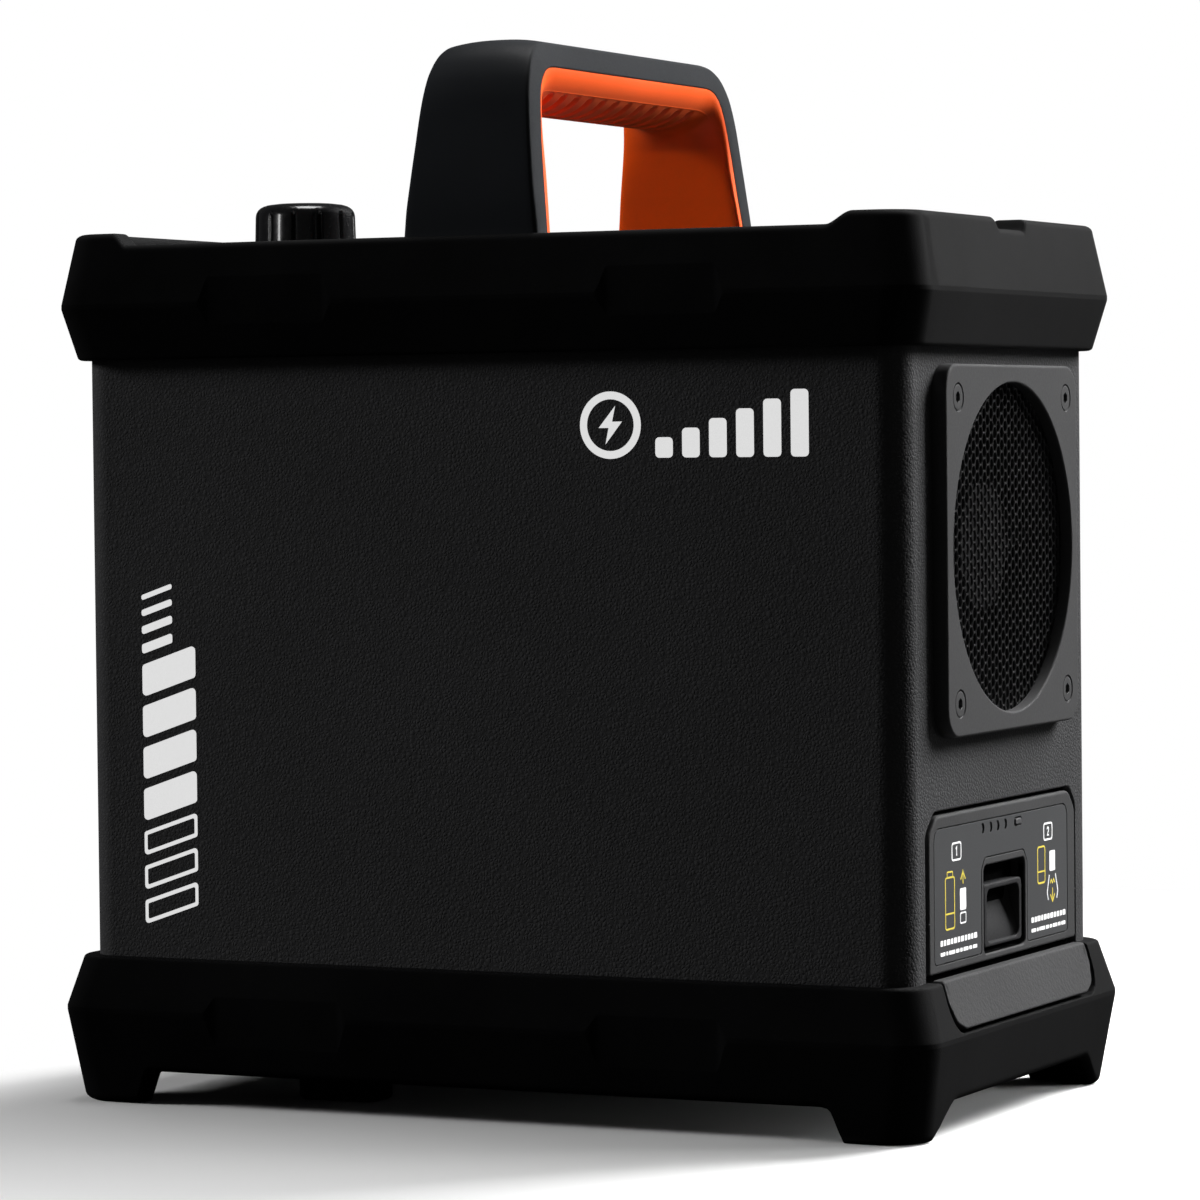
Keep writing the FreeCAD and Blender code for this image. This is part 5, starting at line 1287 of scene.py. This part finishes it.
marks = Solid(on_top, PANEL_Z - 0.01, PANEL_Z + 0.05)
for k in range(25):  # dial scale; every fourth tick is longer and bolder
    angle = math.radians(-225 + 270 / 24 * k) + math.pi
    start, end, weight = (16.9, 18.3, 0.35) if k % 4 else (16.6, 19.4, 0.55)
    marks.line([(DIAL_X + r * math.cos(angle), r * math.sin(angle)) for r in (start, end)],
               weight)
for _, x, y, _ in KEYS:
    marks.fill(circle(x, y, 6.9), circle(x, y, 6.5))
marks.fill(circle(66, 0, 27.6, 96), circle(66, 0, 27.0, 96))
marks.line([(59.5, 31.0), (62.0, 29.2), (70.0, 29.2), (72.5, 31.0)], 0.5)
marks.line(mid_box(34, -42, 8.6, 8.6, 2.0, 5), 0.4, True)
marks.make("panel_print_marks", "root", "panel_plastic", mats=[INK_WHITE_SELF_LIT], angle=60)


def key_cap(x, y, top, r, dish=0.35):
    """Round key with a flange below the panel and a dished top."""
    cap = Solid()
    cap.lathe(x, y, [
        (r + 1.2, PANEL_Z - 5.7), (r + 1.2, PANEL_Z - 4.0), (r - 0.02, PANEL_Z - 3.9),
        (r - 0.02, top - 0.9), (r - 0.12, top - 0.45), (r - 0.45, top - 0.12), (r - 0.9, top),
        (r - 1.4, top - 0.03), (r * 0.45, top - dish), (0.3, top - dish - 0.05)], 56)
    return cap


def key_mark(name, x, y):
    mark = Solid(on_top, 223.5, 223.82)

    def at(*points):
        return [(x + a, y + b) for a, b in points]

    if name == "menu":
        for dy in (-1.2, 0.0, 1.2):
            mark.line(at((-1.5, dy), (1.5, dy)), 0.4)
    elif name == "mode":
        mark.fill(circle(x, y, 1.8, 28), circle(x, y, 1.35, 28))
        mark.fill(circle(x, y, 0.6, 20))
    elif name == "sync":
        mark.line(arc(x, y, 1.7, np.linspace(0.6, 5.4, 16)), 0.42)
        mark.fill(at((2.2, -0.9), (0.4, -0.5), (1.5, -2.2)))
    elif name == "lamp":
        mark.fill(circle(x, y, 1.1, 24), circle(x, y, 0.7, 24))
        for k in range(8):
            ray = [math.pi / 4 * k]
            mark.line(arc(x, y, 1.5, ray) + arc(x, y, 2.1, ray), 0.35)
    elif name == "power":
        mark.line(arc(x, y, 1.7, np.linspace(2.1, 7.3, 20)), 0.42)
        mark.line(at((0, 0.6), (0, 2.2)), 0.42)
    else:
        mark.fill(at((0.7, 2.2), (-1.5, -0.3), (-0.2, -0.3), (-0.7, -2.2), (1.5, 0.4),
                     (0.2, 0.4)))
    return mark


for name, x, y, slot in KEYS:
    body = name + "_key"
    key_cap(x, y, 224.0, 5.0).make(name + "_key_cap", body, slot, name + "_button", angle=40)
    key_mark(name, x, y).make(name + "_key_mark", body, slot, mats=[INK_WHITE_SELF_LIT], angle=60)
key_cap(66.0, 36.0, 225.6, 4.95, dish=0.5).make(
    "socket_release_cap", "release_key", "key_orange", "socket_release", angle=40)

picture = Solid(on_top, 222.29, 222.33)
picture.fill(box(-60.5, -28.5, -29.5, 28.5, 1.5), box(-60.1, -28.1, -29.9, 28.1, 1.2))
picture.line([(-52.0, -26.0), (-52.0, 26.0)], 0.3)
# battery symbol and level
picture.line(mid_box(-56.3, 20.5, 1.6, 4.0, 0.4, 3), 0.3, True)
for k in range(3):
    picture.fill(mid_box(-56.3, 18.2 + 2.2 * k, 0.9, 0.75, 0.15, 2))
for k in range(9):  # row of growing blocks
    picture.fill(mid_box(-46.5 + 0.35 * k, -20.0 + 4.2 * k, 1.0 + 0.35 * k, 1.3, 0.25, 2))
# two boxes, with a zigzag and a stack of bars
for y in (-14.0, 8.0):
    picture.line(mid_box(-36.5, y, 4.4, 8.0, 1.0, 4), 0.35, True)
picture.fill([(-34.0, -13.0), (-37.2, -15.4), (-36.6, -13.8), (-39.0, -15.2), (-35.8, -12.4),
              (-36.4, -14.0)])
for k in range(4):
    picture.fill(mid_box(-36.5, 3.2 + 3.2 * k, 2.6 - 0.4 * k, 0.55, 0.2, 2))
picture.make("display_picture", "root", "lcd_glass", mats=[LCD_LIT], angle=60)

# === CAD pieces that stay, and their finish ===
FINISH = {
    "base_pads": "pad_rubber", "base_plate": "base_metal", "base_screws": "screw_black",
    "battery_bay": "bay_plastic", "battery_board": "pcb_green",
    "battery_case": "battery_plastic", "battery_cells": "cell_wrap",
    "battery_terminals": "contact_brass", "bay_contacts": "contact_brass",
    "capacitor_bank": "can_sleeve", "capacitor_bracket": "bracket_metal",
    "capacitor_busbars": "contact_brass", "cell_holders": "holder_plastic",
    "charger_board": "pcb_green", "control_board": "pcb_green",
    "control_panel": "panel_plastic", "corner_posts": "post_aluminium",
    "dial_encoder": "encoder_metal", "dial_shaft": "rod_steel", "fan_frame": "fan_plastic",
    "fan_rotor": "fan_plastic", "handle_screws": "screw_black",
    "head_socket": "socket_plastic", "heat_sink": "heat_sink_alu",
    "lcd_module": "lcd_housing", "lcd_window": "lcd_glass", "output_cables": "cable_red",
    "port_cover": "cover_rubber", "power_cables": "cable_black", "pull_rods": "rod_steel",
    "socket_contacts": "contact_brass", "status_leds": "led_lens",
    "switch_module": "module_plastic", "sync_jack": "jack_metal",
    "transformer": "core_ferrite", "usb_port": "jack_metal",
}
for name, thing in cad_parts.items():
    if thing.hide_render:
        continue
    material = MATS[FINISH[name]]
    if not thing.data.materials:
        thing.data.materials.append(material)
    for slot in thing.material_slots:
        slot.material = material

# === Floor: grey near the pack, fading to white for the camera ===
scene = bpy.context.scene
scene.view_settings.view_transform = "Standard"
scene.view_settings.look = "None"

mesh = bpy.data.meshes.new("floor")
bm = bmesh.new()
bmesh.ops.create_circle(bm, cap_ends=True, cap_tris=False, segments=96, radius=14.0)
bm.to_mesh(mesh)
bm.free()
floor = bpy.data.objects.new("floor", mesh)
scene.collection.objects.link(floor)

g = Graph("floor_pale")
split = g.node("SeparateXYZ", {0: g.coords}).outputs


def fades(axis, below, above):
    """1 near the pack, fading to 0 over a span on either side."""
    return g.calc("MULTIPLY", g.remap(split[axis], span=below, to=(1, 0)),
                  g.remap(split[axis], span=above, to=(1, 0)))


near = g.calc("MULTIPLY", fades("X", below=(-0.127, -0.175), above=(0.14, 0.36)),
              fades("Y", below=(-0.08, -0.30), above=(0.12, 0.6)))
far = g.calc("POWER", g.calc("SUBTRACT", 1.0, near), 1.8)
seen = g.node("LightPath").outputs["Is Camera Ray"]
g.done(g.mix(seen, (0.012, 0.012, 0.012), (0.62, 0.62, 0.62)), 0.9, spec=0.1)
glow = g.node("Emission", {"Color": (1, 1, 1), "Strength": 1.0})
blend = g.node("MixShader", {0: g.calc("MULTIPLY", far, seen), 1: g.shader.outputs[0],
                             2: glow.outputs[0]})
feed(g.tree, g.output.inputs["Surface"], blend.outputs[0])
mesh.materials.append(g.material)

# === World: white to the camera, dim to everything else ===
world = bpy.data.worlds.new("studio")
scene.world = world
world.use_nodes = True
tree = world.node_tree
tree.nodes.clear()
output = add_node(tree, "OutputWorld")
dim = add_node(tree, "Background", {"Color": (1, 1, 1), "Strength": 0.03})
bright = add_node(tree, "Background", {"Color": (1, 1, 1), "Strength": 1.0})
seen = add_node(tree, "LightPath").outputs["Is Camera Ray"]
blend = add_node(tree, "MixShader", {0: seen, 1: dim.outputs[0], 2: bright.outputs[0]})
feed(tree, output.inputs["Surface"], blend.outputs[0])


# === Lights ===
def area(name, spot, target, size, power, size_y=None, glossy=True, only=None):
    """Area light; only names the one object it reaches."""
    data = bpy.data.lights.new(name, "AREA")
    data.energy = power
    data.size = size
    if size_y:
        data.shape = "RECTANGLE"
        data.size_y = size_y
    light = bpy.data.objects.new(name, data)
    scene.collection.objects.link(light)
    light.location = spot
    light.rotation_mode = "QUATERNION"
    light.rotation_quaternion = (Vector(target) - Vector(spot)).to_track_quat("-Z", "Y")
    if not glossy:
        light.visible_glossy = False
    if only:
        targets = bpy.data.collections.new(name + "_targets")
        targets.objects.link(bpy.data.objects[only])
        light.light_linking.receiver_collection = targets


KEY_PLACE = dict(spot=(0.72, 1.3, 1.05), target=(0.08, 0.0, 0.14), size=0.85, size_y=0.85)
DIAL_STRIP = dict(target=(-0.08, 0.0, 0.235), size_y=0.7, only="dial_cap")
area("key_right_rear", power=100.0, glossy=False, **KEY_PLACE)
area("key_right_rear_sheen", power=34.0, **KEY_PLACE)
area("overhead", spot=(-0.1, 0.2, 2.0), target=(0.0, 0.0, 0.0), size=0.8, power=16.0)
area("fill_left", spot=(-4.0, -1.15, 2.0), target=(0.0, 0.0, 0.16), size=1.3, power=172.0,
     glossy=False)
bpy.data.objects["handle_liner"].visible_glossy = False
area("knob_strip_left", spot=(-1.1, -1.3, 0.42), size=0.22, power=5.0, **DIAL_STRIP)
area("knob_strip_right", spot=(1.0, -0.75, 0.42), size=0.2, power=4.0, **DIAL_STRIP)
area("floor_glow_right", spot=(1.25, 0.62, 0.24), target=(0.1, 0.0, 0.0), size=0.5, power=20.0,
     only="floor")

# === Camera: from the front right, a little above the middle ===
YAW, PITCH, ROLL = 0.4493, 0.0332, 0.0106   # radians
lens_data = bpy.data.cameras.new("camera")
lens_data.sensor_width = 36.0
lens_data.sensor_fit = "HORIZONTAL"
lens_data.lens = 148.012
lens_data.clip_start = 0.05
lens_data.clip_end = 60.0
camera = bpy.data.objects.new("camera", lens_data)
scene.collection.objects.link(camera)
forward = Vector((-math.sin(YAW) * math.cos(PITCH), math.cos(YAW) * math.cos(PITCH),
                  -math.sin(PITCH)))
level = Vector((math.cos(YAW), math.sin(YAW), 0.0))
down = forward.cross(level)
right = math.cos(ROLL) * level + math.sin(ROLL) * down
rolled_down = -math.sin(ROLL) * level + math.cos(ROLL) * down
pose = Matrix((right, -rolled_down, -forward)).transposed().to_4x4()
pose.translation = Vector((0.5823524, -1.2012265, 0.1774369))
camera.matrix_world = pose
scene.camera = camera
